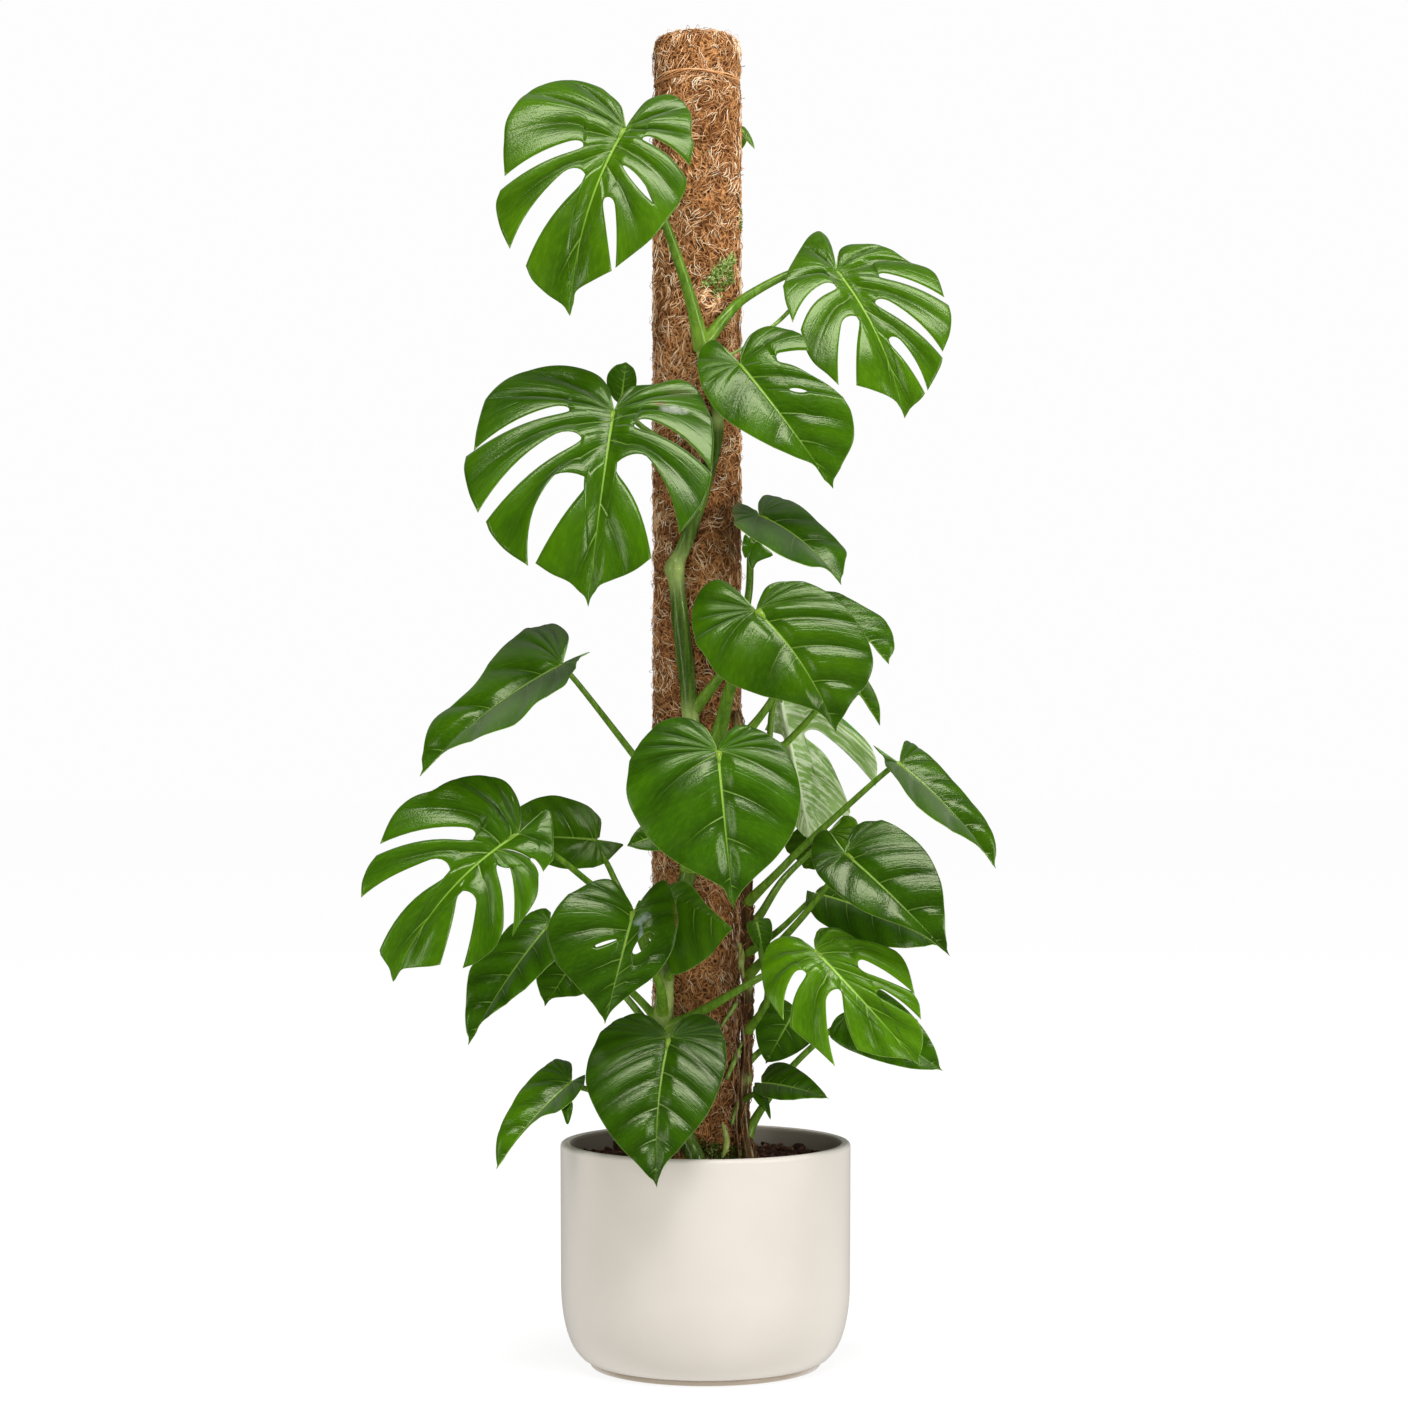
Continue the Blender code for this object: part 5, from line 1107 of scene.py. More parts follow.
def stalk(kind):
    """Smooth stalks and stems, streaked along their length; pale where their own fact says so."""
    name, dark, light, pale = STALKS[kind]
    look = Look(name, 0.38, 0.4, STALK_GLOSS)
    streak = look.noise(9.0, 4.0, 0.6, look.where((22, 22, 1.6)))
    speck = look.noise(160.0, 3.0, 0.7)
    colour = look.mix(look.band(streak, 0.30, 0.70), dark, light)
    colour = look.mix(look.band(speck, 0.64, 0.78, 0.20), colour, light)
    mottle = look.band(look.noise(70.0, 3.0, 0.6, look.where((1, 1, 0.35))), 0.35, 0.65, 0.5)
    colour = look.mix(look.times(look.fact("pale"), look.add(0.6, mottle)), colour, pale)
    height = look.add(streak, look.times(speck, 0.25))
    return look.finish(colour, height, 0.0005, look.band(speck, 0.2, 0.8, 0.5), 0.4)


def paint_coir_shade(look, colour):
    """The coir's colour with painted shade: painted shadows and shade in some places, and darker towards the
    bottom of the pole as painted shade under the leaves.
    """
    # Painted shadows of the leaves and painted shade on the coir's sides.
    for centre, size, most in PAINTED_COIR_SHADOWS:
        colour = look.mix(look.patch(centre, size, 0.0, most), colour, PAINTED_COIR_SHADE)
    # Darker towards the bottom of the pole: painted shade under the leaves.
    height = look.add(look.axis("Z"), look.times(look.noise(12.0, 3.0), 0.25))
    return look.mix(look.band(height, 1.30, 0.90, 0.22), colour, PAINTED_COIR_SHADE)


def coir_fibre():
    look = Look("coir_fibre", 0.50, 0.45)
    tint = look.add(look.fact("tint"), look.times(look.noise(260.0, 2.0), 0.24))
    tint = look.maths("SUBTRACT", tint, 0.12, True)
    streak = look.noise(30.0, 3.0, 0.6, look.where((12, 12, 12)))
    return look.finish(paint_coir_shade(look, look.ramp(tint, COIR_TONES)), streak, 0.0003)


def coir_mat():
    """Matted fibre between the strands that stand proud, darkened as painted shade of the gaps between them.
    """
    look = Look("coir_mat", 0.9, 0.2)
    swirl = look.node("TexNoise", {"Vector": look.where(), "Scale": 26.0, "Detail": 2.0}).outputs["Color"]
    warp = look.node("Mix", {0: 0.035, 4: look.where(), 5: swirl}, data_type="VECTOR").outputs[1]
    strand = look.cells(170.0, warp, "DISTANCE_TO_EDGE")
    cross = look.cells(240.0, warp, "DISTANCE_TO_EDGE")
    tone = look.add(look.band(strand, 0.30, 0.0, 0.55), look.band(cross, 0.3, 0.0, 0.35))
    tone = look.times(tone, look.add(0.45, look.band(look.noise(14.0), 0.25, 0.7, 0.55)))
    height = look.add(look.band(strand, 0.3, 0.0), look.band(cross, 0.3, 0.0))
    # Painted shade: the mat is darkened where it lies in the gaps between the strands.
    tone = look.times(tone, 0.70)
    return look.finish(paint_coir_shade(look, look.ramp(tone, COIR_TONES)), height, 0.002, None, 0.9)


def earth():
    look = Look("potting_bark", 0.92, 0.25)
    tint = look.add(look.fact("tint"), look.times(look.noise(120.0, 4.0, 0.7), 0.5))
    return look.finish(look.ramp(tint, BARK_TONES), look.noise(420.0, 4.0, 0.7), 0.0012, None, 0.8)


def pot_glaze():
    """Warm white satin stoneware, faintly mottled, with a slightly uneven surface, a painted sheen where it
    turns away and painted shade on the inner wall above the soil.
    """
    look = Look("satin_stoneware", 0.42, 0.45)
    cloud = look.noise(9.0, 4.0, 0.55)
    speck = look.noise(260.0, 2.0, 0.6)
    low = look.axis("Z")
    colour = look.mix(look.band(cloud, 0.3, 0.7), *GLAZE)
    colour = look.mix(look.band(speck, 0.66, 0.80, 0.25), colour, GLAZE_SPECK)
    colour = look.mix(look.band(low, 0.0062, 0.0052), colour, FOOT_CLAY)
    # Painted sheen: the glaze turns paler where the pot turns away from view.
    colour = look.mix(look.band(look.slant(0.5), 0.25, 0.75, 0.8), colour, GLAZE_PAINTED_SHEEN)
    # Painted shade on the inner wall above the soil.
    inside = look.band(look.reach((1, 1, 0)), 0.1548, 0.1530, 0.78)
    colour = look.mix(look.times(inside, look.band(low, 0.10, 0.12)), colour, GLAZE_PAINTED_SHADE)
    wave = look.noise(14.0, 2.0, 0.4, look.where((1, 1, 2.5)))
    rough = look.add(0.36, look.times(cloud, 0.12))
    return look.finish(colour, look.add(wave, look.times(speck, 0.05)), 0.0010, rough, 0.25)


def pole_wood():
    look = Look("pole_core_wood", 0.75, 0.3)
    ring = look.noise(6.0, 5.0, 0.6, look.where((30, 30, 2)))
    return look.finish(look.mix(look.band(ring, 0.3, 0.7), *WOOD), ring, 0.0008)


# climbing stems and petioles
def round_pole(angle, r, z):
    """The place at an angle round the pole (radians), a distance from its axis and a height."""
    return np.stack([POLE_X + r * np.sin(angle), -r * np.cos(angle), z], -1)


def stem_line(name):
    """Centre points and radii of a stem, as the part has them."""
    points, radii = [], []
    for angle, height, radius, off in STEMS[name]:
        reach = POLE_R + CLIMB_OFF + (radius + off) / 1000
        points.append(round_pole(math.radians(angle), reach, height / 1000))
        radii.append(radius / 1000)
    return np.array(points), np.array(radii)


def nearest_on_stem(end):
    """The point of a stem's axis that is closest to where a petiole ends."""
    best = None
    for name in STEMS:
        line = stem_line(name)[0]
        for a, b in zip(line, line[1:]):
            share = np.clip((end - a) @ (b - a) / ((b - a) @ (b - a)), 0, 1)
            found = a + (b - a) * share
            if best is None or np.linalg.norm(found - end) < np.linalg.norm(best - end):
                best = found
    return best


def petiole(leaf, free):
    """The petiole from under the blade to the stem, with its bend below the blade and its sheath."""
    v = np.array([0.016, 0.003]) * min(1, leaf["length"] / 0.12)
    start = surface(leaf, np.full(2, ON_RIB), v)
    down = blade_points(leaf, np.stack([np.full(2, ON_RIB), v], -1), np.zeros((2, len(FACTS))), 1)
    below = -leaf["turn"][:, 2] / np.linalg.norm(leaf["turn"][:, 2])
    points = [spot(*point) for point in leaf["petiole"]]
    if not free:
        points[-1] = nearest_on_stem(points[-1])
    rough_length = np.linalg.norm(np.diff([start[1]] + points, axis=0), axis=1).sum()
    size = leaf.get("thick", 1.0) * min(1.0, 0.55 + rough_length * 3.0)
    line = [down[0] + below * 0.0012, down[1] + below * 0.8 * size * PETIOLE_TOP_R] + points
    read, length = smooth_line(line)
    share = np.linspace(0, 1, max(12, round(length / PETIOLE_STEP)))
    grown = size * (PETIOLE_TOP_R + (PETIOLE_END_R - PETIOLE_TOP_R) * share ** 1.5)
    away = share * length
    grown *= 1 + SHEATH.get(leaf["name"], 0.0) * share ** 2
    grown *= 1 + 0.16 * np.exp(-((away - 0.016) / 0.009) ** 2)
    grown *= 1 + 0.30 * np.clip((share - 0.80) / 0.2, 0, 1) ** 1.5 * (not free)
    grown *= np.clip(0.35 + away / 0.016, 0.35, 1)
    points, faces, along = tube(read(share), grown, PETIOLE_SIDES)
    pale = 0.75 * np.exp(-((along * length - 0.014) / 0.010) ** 2) + 0.35 * np.clip(along - 0.85, 0, 1) / 0.15
    return points, faces, np.clip(pale, 0, 1)


def flap(outline, blade):
    """A small closed sheet drawn in the front view that goes on from a blade: points, facts, faces, slots."""
    seen = EYE[[0, 2]] + (blade - EYE)[:, [0, 2]] * -EYE[1] / (blade[:, 1:2] - EYE[1])
    area = sum(a[0] * b[1] - b[0] * a[1] for a, b in zip(outline, outline[1:] + outline[:1]))
    ring = outline if area > 0 else outline[::-1]
    read, _ = smooth_line(ring + ring[:1])
    edge = []
    for x, z in read(np.linspace(0, 1, FLAP_RING + 1)[:-1]):
        near = np.argsort(np.hypot(seen[:, 0] - x / 1000, seen[:, 1] - z / 1000))[:4]
        edge.append(spot(x, z, 1000 * blade[near, 1].mean() + FLAP_LIFT))
    edge = np.array(edge)
    centre = edge.mean(0)
    size = 1000 * np.linalg.norm(edge - centre, axis=1).mean()
    shares = (1.0, 0.8, 0.45, 0.0)
    sheet, facts = [], []
    for share in shares:
        sheet.append(centre + (edge - centre) * max(share, 0.02) - (0, 0.001 * (1 - share ** 2), 0))
        facts.append(np.tile([0.3, share, 10, (1 - share) * size, 30, 0.6], (FLAP_RING, 1)))
    sheet = np.concatenate(sheet)
    thick = np.repeat([0.25, 0.5, 0.5, 0.5], FLAP_RING)[:, None] * (0, SKIN, 0)
    count = len(sheet)
    faces, slots = [], []
    for side, way in ((TOP, 1), (UNDER, -1)):
        sheet_faces = ring_faces(len(shares), FLAP_RING, count * side)
        sheet_faces.append(list(range(count * (side + 1) - FLAP_RING, count * (side + 1))))
        faces += [face[::way] for face in sheet_faces]
        slots += [side] * len(sheet_faces)
    for k in range(FLAP_RING):
        after = (k + 1) % FLAP_RING
        faces.append((after, k, count + k, count + after))
        slots.append(RIM)
    both = np.concatenate([sheet - thick, sheet + thick])
    return both, np.tile(np.concatenate(facts), (2, 1)), faces, slots


def make_leaves():
    tops = {tone: leaf_top(tone) for tone in TOPS}
    unders = {tone: leaf_under(tone) for tone in UNDERS}
    rim, stalks = leaf_rim(), stalk("petiole")
    for number, (name, leaf) in enumerate(LEAVES.items()):
        leaf = {**BLADE, **leaf, "seed": 1.7 * number, "name": name}
        points, facts, faces, slots = blade_mesh(leaf)
        if name in PLAIN:
            facts[:, FACTS.index("rib")] += 40
        parts = [(points, facts, faces, slots)]
        for owner, outline in FLAPS:
            if owner == name:
                parts.append(flap(outline, np.concatenate([part[0] for part in parts])))
        stem, stem_faces, pale = petiole(leaf, name == FREE)
        parts.append((stem, np.zeros((len(stem), len(FACTS))), stem_faces, [STALK] * len(stem_faces)))
        points, faces, facts = joined([(p, f, v) for p, v, f, _ in parts])
        slots = sum((part[3] for part in parts), [])
        known = dict(zip(FACTS, facts.T), pale=np.concatenate([np.zeros(len(points) - len(stem)), pale]),
                     shade=np.full(len(points), SHADE.get(name, 1.0)))
        tone = leaf["tone"]
        materials = [tops[tone], unders["pale" if tone == "pale" else "green"], rim, stalks]
        add_piece("monstera_" + name, "leaf_" + tone, points, faces, materials, slots, [name], **known)


def make_stems():
    looks = {name: stalk(name) for name in STEMS}
    for name in STEMS:
        read, length = smooth_line(np.column_stack(stem_line(name)))
        share = np.linspace(0, 1, round(length / STEM_STEP))
        found = read(share)
        wobble = 1 + 0.05 * np.sin(share * length * 95) * np.sin(share * length * 37 + 1)
        points, faces, _ = tube(found[:, :3], found[:, 3] * wobble, STEM_SIDES)
        pale = np.zeros(len(points))
        for at, size in STEM_NODES[name]:
            pale = np.maximum(pale, 0.9 * np.exp(-((points[:, 2] - at / 1000) / (size / 1000)) ** 2))
        add_piece("climbing_" + name, "stem_green", points, faces, [looks[name]], None, [name], pale=pale)


def make_shoots():
    """Thin shoots, buds and aerial roots at the stems."""
    looks = {kind: stalk(kind) for kind in ("root", "shoot", "bud")}
    for number, (kind, radius, line) in enumerate(SHOOTS):
        read, length = smooth_line([spot(*point) for point in line])
        share = np.linspace(0, 1, max(8, round(length / STEM_STEP)))
        body = {"root": 1 + 0.25 * np.sin(share * length * 260 + number), "shoot": 1.15 - 0.5 * share,
                "bud": 0.45 + 0.9 * np.sin(np.pi * share) ** 0.8}[kind]
        points, faces, along = tube(read(share), radius / 1000 * body, SHOOT_SIDES)
        add_piece("%s_%02d" % (kind, number + 1), "stem_green", points, faces, [looks[kind]],
                  pale=0.5 * np.sin(along * 9 + number) ** 2)


def make_moss():
    """Tufts of moss on the coir: short closed spikes, each with its own tint."""
    rng = np.random.default_rng(MOSS_SEED)
    parts = []
    for turn, height, wide, tall, count, middle, length in MOSS:
        for _ in range(count):
            a, reach = rng.uniform(0, 2 * np.pi), math.sqrt(rng.random())
            angle = math.radians(turn) + wide * reach * math.cos(a) / POLE_R
            out = np.array([math.sin(angle), -math.cos(angle), 0])
            foot = out * (POLE_R - 0.001) + (POLE_X, 0, height + tall * reach * math.sin(a))
            way = out * rng.uniform(0.1, 0.6) + rng.normal(0, 0.6, 3) + (0, 0, 0.15)
            way /= np.linalg.norm(way)
            side = np.cross(way, (0.3, 0.2, 0.93))
            side /= np.linalg.norm(side)
            other = np.cross(way, side)
            r, long = rng.uniform(0.0004, 0.0009), length * rng.uniform(0.5, 1.3)
            corners = [foot + r * side, foot - r * (0.5 * side - 0.87 * other),
                       foot - r * (0.5 * side + 0.87 * other)]
            belly = [p + way * long * 0.55 + 0.2 * (p - foot) for p in corners]
            points = np.array(corners + belly + [foot + way * long])
            faces = [(2, 1, 0), (0, 1, 4, 3), (1, 2, 5, 4), (2, 0, 3, 5), (3, 4, 6), (4, 5, 6), (5, 3, 6)]
            tint = np.clip(middle + rng.normal(0, 0.16), 0, 1)
            parts.append((points, faces, np.full(len(points), tint)))
    points, faces, tint = joined(parts)
    look = Look("moss", 0.85, 0.2)
    look.finish(look.ramp(look.fact("tint"), MOSS_TONES), look.noise(300.0), 0.0004)
    add_piece("moss_tufts", "coir", points, faces, [look.material], tint=tint)


# coir pole
def on_sleeve(s, angle, lift):
    """Points on the sleeve at a distance s from its top's middle, a little off its surface."""
    line = np.array(SLEEVE)
    steps = np.concatenate([[0], np.cumsum(np.linalg.norm(np.diff(line, axis=0), axis=1))])
    r = np.interp(s, steps, line[:, 0])
    z = np.interp(s, steps, line[:, 1])
    ahead = np.interp(s + 0.002, steps, line[:, 0]) - r
    drop = z - np.interp(s + 0.002, steps, line[:, 1])
    size = np.maximum(np.hypot(ahead, drop), 1e-9)
    r = r + lift * drop / size
    z = z + lift * np.maximum(ahead, 0) / size
    return round_pole(angle, r, z)


def drift(s, angle):
    """The way that the fibres lie at a place of the sleeve, as an angle from straight down."""
    points = on_sleeve(s, angle, 0.0)
    return np.array([2.4 * noise.noise(Vector(p) * 11) + 1.6 * noise.noise(Vector(p) * 34) for p in points])


def settled(points):
    """The coir round the tie, which hangs lower at the pole's sides than in front."""
    points = np.array(points)
    near = eased(1 - np.abs(points[:, 2] - BAND_Z + 0.004) / 0.038)
    points[:, 2] -= 0.008 * near * np.sin(np.arctan2(points[:, 0] - POLE_X, -points[:, 1])) ** 2
    return points


def prisms(path, out, thick):
    """Three-sided fibres, closed at their ends, along paths of equal numbers of points."""
    count, steps = len(path), path.shape[1] - 1
    ways = np.gradient(path, axis=1)
    ways /= np.linalg.norm(ways, axis=2, keepdims=True) + 1e-12
    out = out * (1, 1, 0)
    out /= np.linalg.norm(out, axis=2, keepdims=True) + 1e-9
    side = np.cross(ways, out)
    side /= np.linalg.norm(side, axis=2, keepdims=True) + 1e-9
    top = np.cross(side, ways)
    turn = 2 * np.pi * np.arange(3) / 3 + np.pi / 2
    rings = path[:, :, None] + thick[:, :, None, None] * (
        np.cos(turn)[:, None] * side[:, :, None] + np.sin(turn)[:, None] * top[:, :, None])
    base = np.arange(count)[:, None, None] * (steps + 1) * 3 + np.arange(steps)[None, :, None] * 3
    k = np.arange(3)
    quads = np.stack([base + k, base + (k + 1) % 3, base + 3 + (k + 1) % 3, base + 3 + k], -1).reshape(-1, 4)
    first = np.arange(count)[:, None] * (steps + 1) * 3
    caps = np.vstack([first + [2, 1, 0], first + steps * 3 + [0, 1, 2]])
    return rings.reshape(-1, 3), quads.tolist() + caps.tolist()


def stem_fibres(name, count, seed):
    """Fibres that cling along a stem and give it a shaggy bark."""
    rng = np.random.default_rng(seed)
    read, length = smooth_line(np.column_stack(stem_line(name)))
    share, angle = rng.uniform(0.0, 0.97, count), rng.uniform(0, 2 * np.pi, count)
    heading, curl = rng.normal(0, 0.35, count), rng.normal(0, 60, count)
    steps = len(TAPER) - 1
    sizes, stand = rng.uniform(0.008, 0.020, count) / steps, rng.uniform(0.0002, 0.0028, count)
    path, out = [], []
    for n in range(steps + 1):
        found = read(np.clip(share, 0, 1))
        way = np.stack([np.cos(angle), np.sin(angle), 0 * angle], -1)
        r = found[:, 3] - 0.0007 + stand * math.sin(math.pi * n / steps)
        path.append(found[:, :3] + way * r[:, None])
        out.append(way)
        share = share + np.cos(heading) * sizes / length
        angle = angle + np.sin(heading) * sizes / found[:, 3]
        heading = heading + curl * sizes + rng.normal(0, 0.2, count)
    thick = rng.uniform(0.0004, 0.0008, count)[:, None] * TAPER
    points, faces = prisms(np.stack(path, 1), np.stack(out, 1), thick)
    return points, faces, np.clip(np.repeat(rng.normal(0.30, 0.17, count), 3 * len(TAPER)), 0, 1)


def strands(clumps, per, length, radius, lift, seed, middle):
    """Clumps of curly three-sided fibres that lie side by side on the sleeve, each with its own tint."""
    rng = np.random.default_rng(seed)
    steps, count = len(TAPER) - 1, clumps * per
    total = sum(math.dist(a, b) for a, b in zip(SLEEVE, SLEEVE[1:]))
    s = rng.uniform(0.004, total, clumps)
    on_top = s < DOME
    s[on_top] = DOME * np.sqrt(rng.uniform(0.02, 1, on_top.sum()))
    angle = rng.uniform(0, 2 * np.pi, clumps)
    heading = drift(s, angle) + rng.normal(0, 0.45, clumps) + np.where(rng.random(clumps) < 0.5, 0, np.pi)
    s, angle, heading = (np.repeat(value, per) for value in (s, angle, heading))
    curl = np.repeat(rng.normal(0, 90, clumps), per) + rng.normal(0, 25, count)
    sizes = np.repeat(length * rng.uniform(0.6, 1.4, clumps), per) * rng.uniform(0.7, 1.2, count)
    stand = lift * rng.uniform(0.1, 1, count) ** 1.3
    aside = np.tile(np.arange(per) - (per - 1) / 2, clumps) * 0.0018 + rng.normal(0, 0.0004, count)
    ahead = rng.normal(0, 0.004, count)

    def around(s):
        return np.maximum(np.interp(s, [0, 0.036, 0.05], [0.004, 0.036, POLE_R]), 0.004)

    s = np.clip(s - np.sin(heading) * aside + np.cos(heading) * ahead, 0.002, total)
    angle = angle + (np.cos(heading) * aside + np.sin(heading) * ahead) / around(s)
    path = []
    for n in range(steps + 1):
        path.append(on_sleeve(s, angle, stand * np.sin(np.pi * n / steps) - BURIED))
        pace = sizes / steps
        s = np.clip(s + np.cos(heading) * pace, 0.001, total)
        angle = angle + np.sin(heading) * pace / around(s)
        heading = heading + curl * pace + rng.normal(0, 0.22, count)
    path = np.stack(path, 1)
    out = path - np.array([POLE_X, 0, 0])
    thick = radius * rng.uniform(0.6, 1.35, count)[:, None] * TAPER
    points, faces = prisms(path, out, thick)
    tint = middle + np.repeat(rng.normal(0, 0.06, clumps), per) + rng.normal(0, 0.23, count)
    return settled(points), faces, np.clip(np.repeat(tint, (steps + 1) * 3), 0, 1)


def make_pole():
    fibre, mat = coir_fibre(), coir_mat()
    outline = fine(SLEEVE + [(0, COIR_FOOT)], 0.006)

    def rough(points):
        flat = points.reshape(-1, 3)
        lift = [0.0016 * noise.noise(Vector(p) * 60) + 0.0012 * noise.noise(Vector(p) * 170) for p in flat]
        return np.array(lift).reshape(points.shape[:2]) - 0.0020

    points, faces = turned(outline, COIR_SIDES, POLE_X, rough)
    add_piece("coir_mat", "coir", settled(points), faces, [mat], None, ["coir_sleeve"])
    for name, *layer in FIBRES:
        points, faces, tint = strands(*layer)
        add_piece(name, "coir", points, faces, [fibre], tint=tint)
    points, faces, tint = stem_fibres("stem_side", SIDE_FIBRES, SIDE_SEED)
    add_piece("stem_side_fibres", "coir", points, faces, [fibre], tint=tint)
    points, faces, tint = joined(tie_threads() + knot_threads())
    add_piece("coir_tie", "coir", settled(points), faces, [fibre], tint=tint)
    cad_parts["pole_core"].material_slots[0].material = pole_wood()


def thread(r, angle, z, thick, tint):
    """A thin rod round the pole, with its tint."""
    line = round_pole(angle, r, z)
    points, faces, _ = tube(line, np.full(len(line), thick), THREAD_SIDES)
    return points, faces, np.full(len(points), tint)


def tie_threads():
    """Wavy turns of thread that draw the coir in."""
    made = []
    for n in range(TIE_TURNS):
        turn = np.linspace(0, 2 * np.pi, 61)[:-1] + n
        turn = np.append(turn, turn[0])
        wave = 0.0016 * np.sin(3 * turn + n) + 0.0012 * (n - TIE_TURNS // 2)
        r = POLE_R - 0.0022 + 0.0006 * np.sin(7 * turn + 2 * n)
        made.append(thread(r, turn, BAND_Z + wave, 0.0008, 0.25 + 0.1 * n))
    return made


def knot_threads():
    """Loose curls of pale fibre on the front of the pole."""
    rng = np.random.default_rng(KNOT_SEED)
    made = []
    for _ in range(KNOT_ARCS):
        size = rng.uniform(0.004, 0.011)
        turn = np.linspace(0, rng.uniform(1.2, 3.6), 14) + rng.uniform(0, 6.3)
        angle = KNOT[0] + rng.normal(0, 0.10) + size * np.cos(turn) / POLE_R
        r = POLE_R + rng.uniform(-0.0002, 0.0024)
        z = KNOT[1] + rng.normal(0, 0.006) + size * np.sin(turn) * rng.uniform(0.6, 1.2)
        made.append(thread(r, angle, z, rng.uniform(0.0003, 0.0007), rng.uniform(0.20, 1.0)))
    return made


# pot and soil
def make_pot():
    inner = POT_R - POT_WALL
    profile = [(0, POT_FLOOR), (inner - 0.030, POT_FLOOR)]
    profile += [(inner - 0.030 + 0.028 * math.sin(a), POT_FLOOR + 0.032 * (1 - math.cos(a)))
                for a in np.linspace(0.1, math.pi / 2, 10)]
    profile += [(inner, 0.10), (inner, POT_H - LIP)]
    profile += [(inner + LIP * (1 - math.cos(a)), POT_H - LIP * (1 - math.sin(a)))
                for a in np.linspace(0.15, math.pi / 2, 7)]
    profile += [(POT_R - LIP * (1 - math.sin(a)), POT_H - LIP * (1 - math.cos(a)))
                for a in np.linspace(0, math.pi / 2, 8)]
    read, _ = smooth_line([(POT_R, POT_H - LIP - 0.001), (POT_R - 0.0006, 0.12), (POT_R - 0.0014, 0.075),
                           (POT_R - 0.0060, 0.045), (POT_R - 0.0135, 0.024), (POT_R - 0.0235, 0.011),
                           (FOOT_R + 0.0045, 0.0072)])
    profile += [tuple(p) for p in read(np.linspace(0, 1, 44))]
    profile += [(FOOT_R + 0.0020, 0.0063), (FOOT_R - 0.0004, 0.0060), (FOOT_R - 0.0014, 0.0055),
                (FOOT_R - 0.0006, 0.0049), (FOOT_R, 0.0042), (FOOT_R, 0.0010), (FOOT_R - 0.0010, 0.0),
                (FOOT_R - 0.02, 0.0), (0, 0.0)]
    points, faces = turned(profile, POT_SIDES)
    add_piece("stoneware_pot", "pot_glaze", points, faces, [pot_glaze()], None, ["pot"])


def crumb(rng, centre, size):
    """Points and faces of one bark crumb: a flattened, knocked-about twelve-cornered lump."""
    golden = (1 + 5 ** 0.5) / 2
    corners = np.array([(-1, golden, 0), (1, golden, 0), (-1, -golden, 0), (1, -golden, 0), (0, -1, golden),
                        (0, 1, golden), (0, -1, -golden), (0, 1, -golden), (golden, 0, -1), (golden, 0, 1),
                        (-golden, 0, -1), (-golden, 0, 1)]) / 1.9
    faces = [(0, 11, 5), (0, 5, 1), (0, 1, 7), (0, 7, 10), (0, 10, 11), (1, 5, 9), (5, 11, 4), (11, 10, 2),
             (10, 7, 6), (7, 1, 8), (3, 9, 4), (3, 4, 2), (3, 2, 6), (3, 6, 8), (3, 8, 9), (4, 9, 5),
             (2, 4, 11), (6, 2, 10), (8, 6, 7), (9, 8, 1)]
    corners = corners * rng.uniform(0.7, 1.3, (12, 1))
    corners = corners * size * rng.uniform((0.7, 0.4, 0.22), (1.2, 0.8, 0.55))
    a, b, c = rng.uniform(0, 2 * np.pi), rng.normal(0, 0.35), rng.normal(0, 0.35)
    turn = np.array([(math.cos(a), -math.sin(a), 0), (math.sin(a), math.cos(a), 0), (0, 0, 1)])
    tilt = np.array([(1, 0, b), (0, 1, c), (-b, -c, 1)])
    return corners @ turn.T @ tilt.T + centre, faces


def soil_height(x, y):
    lump = 0.0035 * noise.noise(Vector((x * 28, y * 28, 0.3)))
    lump += 0.0022 * noise.noise(Vector((x * 90, y * 90, 4)))
    return SOIL_TOP - 0.001 + lump


def make_soil():
    rng = np.random.default_rng(CHIP_SEED)
    inner = POT_R - POT_WALL - GAP
    look = earth()
    outline = fine([(0, SOIL_TOP), (inner - 0.004, SOIL_TOP)], 0.0028) + [
        (inner, SOIL_TOP - 0.004), (inner, 0.10), (inner - 0.002, 0.048), (inner - 0.010, 0.026),
        (inner - 0.030, POT_FLOOR + 0.0005), (0, POT_FLOOR + 0.0005)]

    def rough(points):
        lift = [soil_height(x, y) - SOIL_TOP if z > SOIL_TOP - 0.001 else 0.0
                for x, y, z in points.reshape(-1, 3)]
        return np.array(lift).reshape(points.shape[:2])

    points, faces = turned(outline, SOIL_SIDES, 0.0, rough)
    tint = 0.25 + 0.2 * np.sin(points[:, 0] * 300) * np.sin(points[:, 1] * 260)
    add_piece("potting_soil", "soil", points, faces, [look], None, ["soil"], tint=tint)
    parts = []
    for _ in range(CHIPS):
        reach = (inner - 0.004) * math.sqrt(rng.random())
        turn = rng.uniform(0, 2 * np.pi)
        x, y = reach * math.sin(turn), -reach * math.cos(turn)
        if math.hypot(x - POLE_X, y) < POLE_R + 0.004:
            continue
        size = min(rng.lognormal(math.log(CHIP_SIZE), 0.42), LARGEST_CHIP)
        points, faces = crumb(rng, (x, y, soil_height(x, y) + size * 0.18), size)
        tint = rng.choice([0.15, 0.35, 0.5, 0.65], p=[0.35, 0.35, 0.2, 0.1])
        parts.append((points, faces, np.full(len(points), tint)))
    points, faces, tint = joined(parts)
    add_piece("bark_chips", "soil", points, faces, [look], smooth=False, tint=tint)


# studio
def soft_box(name, at, size, glow):
    data = bpy.data.lights.new(name, "AREA")
    data.shape = "RECTANGLE"
    data.size, data.size_y = size
    data.energy = math.pi * size[0] * size[1] * glow
    made = bpy.data.objects.new(name, data)
    made.location = at
    made.rotation_euler = (Vector(AIM) - Vector(at)).to_track_quat("-Z", "Y").to_euler()
    made.visible_glossy = name != "fill"
    bpy.context.scene.collection.objects.link(made)


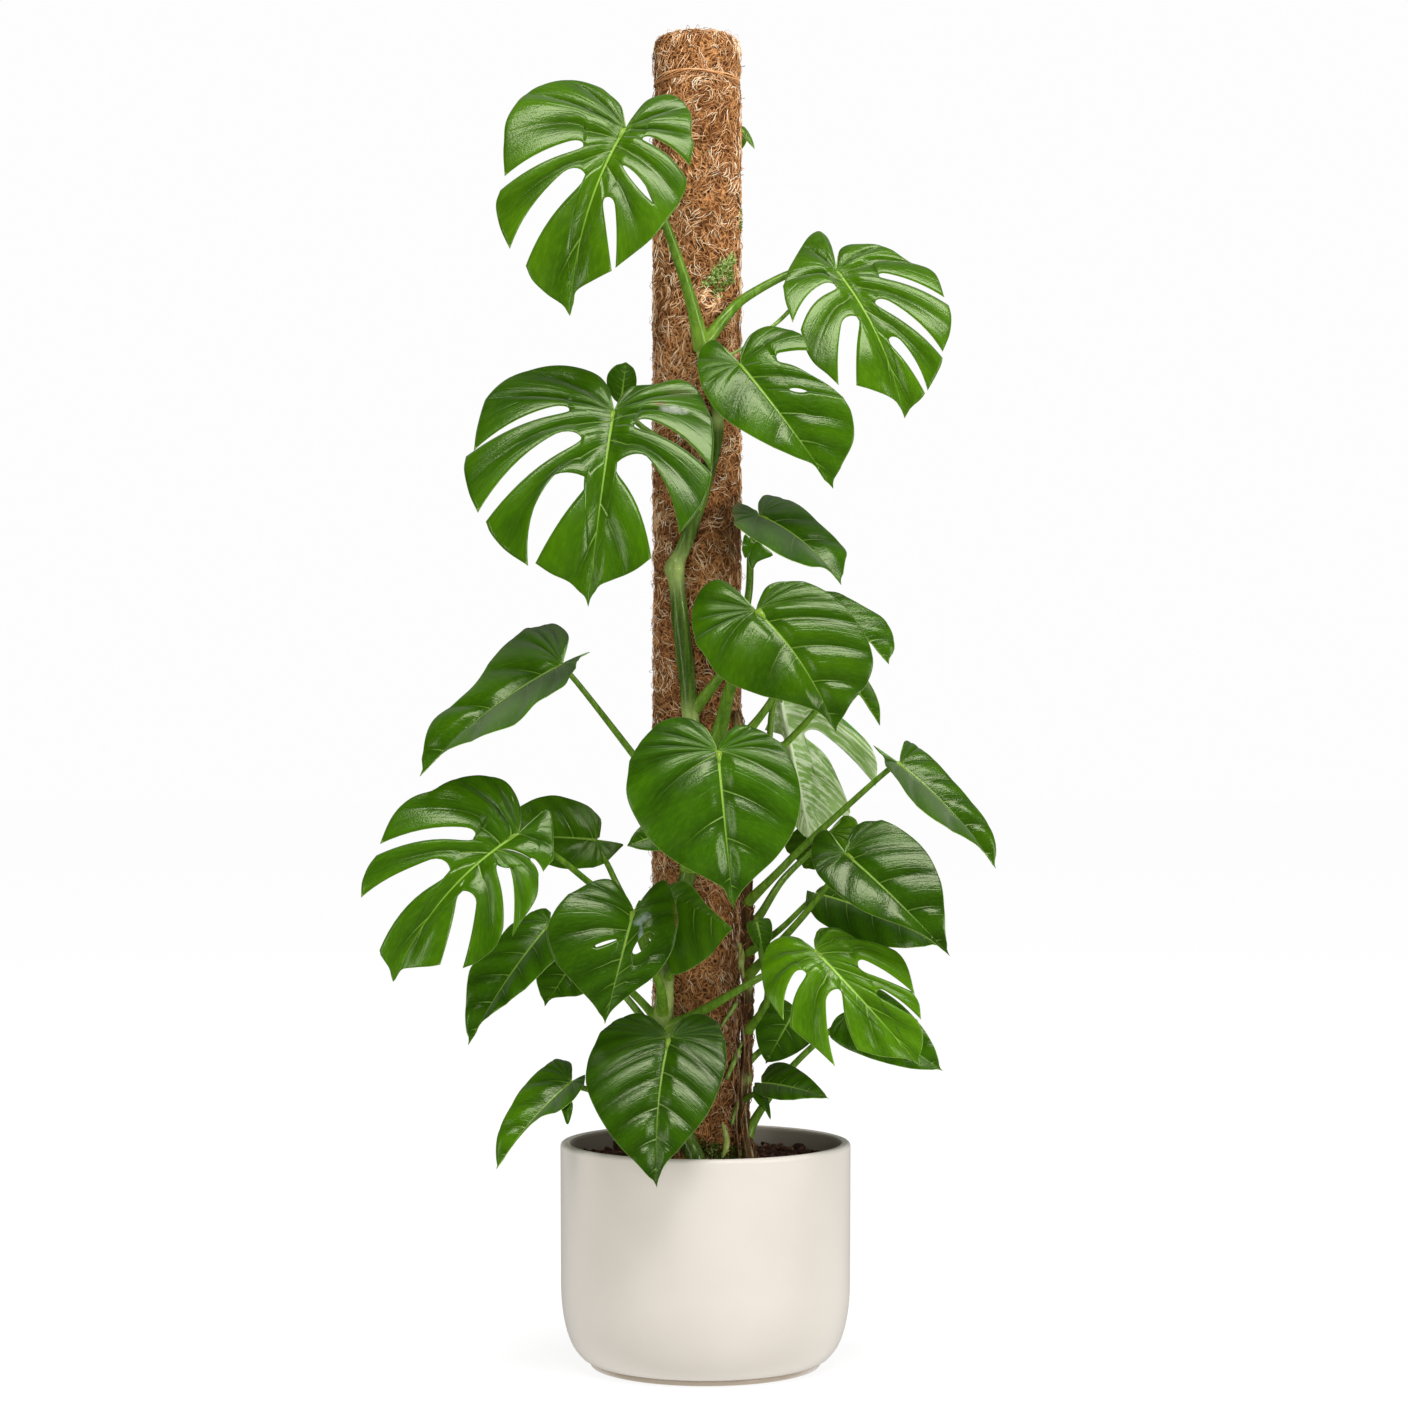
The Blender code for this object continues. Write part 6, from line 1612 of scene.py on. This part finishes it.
def make_studio():
    scene = bpy.context.scene
    scene.view_settings.view_transform = "Standard"
    world = bpy.data.worlds.new("studio")
    world.use_nodes = True
    scene.world = world
    tree = world.node_tree
    ray = tree.nodes.new("ShaderNodeLightPath")
    shown = tree.nodes["Background"]
    shown.inputs["Strength"].default_value = AMBIENT
    for kind, strength in (("Is Glossy Ray", AMBIENT_GLOSS), ("Is Camera Ray", BACKDROP)):
        other = tree.nodes.new("ShaderNodeBackground")
        other.inputs["Strength"].default_value = strength
        both = tree.nodes.new("ShaderNodeMixShader")
        tree.links.new(ray.outputs[kind], both.inputs[0])
        tree.links.new(shown.outputs[0], both.inputs[1])
        tree.links.new(other.outputs[0], both.inputs[2])
        shown = both
    for background in tree.nodes:
        if background.bl_idname == "ShaderNodeBackground":
            background.inputs["Color"].default_value = (1.0, 1.0, 1.0, 1)
    tree.links.new(shown.outputs[0], tree.nodes["World Output"].inputs["Surface"])
    look = Look("white_floor", 0.9, 0.0)
    look.shader.inputs["Emission Color"].default_value = (1, 1, 1, 1)
    glow = look.add(FLOOR_NEAR, look.band(look.reach(), 0.14, 0.32, FLOOR_FAR - FLOOR_NEAR))
    look.put(look.shader.inputs["Emission Strength"], glow)
    mesh = bpy.data.meshes.new("floor")
    corners = [(FLOOR_HALF * x, FLOOR_HALF * y, 0) for x, y in ((-1, -1), (1, -1), (1, 1), (-1, 1))]
    mesh.from_pydata(corners, [], [(0, 1, 2, 3)])
    mesh.materials.append(look.finish(look.mix(look.noise(3.0), *FLOOR_GREYS)))
    floor = bpy.data.objects.new("floor", mesh)
    floor.location.z = -FLOOR_DROP
    floor.visible_glossy = False
    scene.collection.objects.link(floor)
    for light in LIGHTS:
        soft_box(*light)
    data = bpy.data.cameras.new("camera")
    data.sensor_width = SENSOR
    data.lens = LENS
    camera = bpy.data.objects.new("camera", data)
    camera.location = EYE
    camera.rotation_euler = (math.radians(90 + LOOK_UP), 0, 0)
    scene.collection.objects.link(camera)
    scene.camera = camera


def main():
    make_studio()
    make_pot()
    make_soil()
    make_pole()
    make_stems()
    make_shoots()
    make_moss()
    make_leaves()


main()
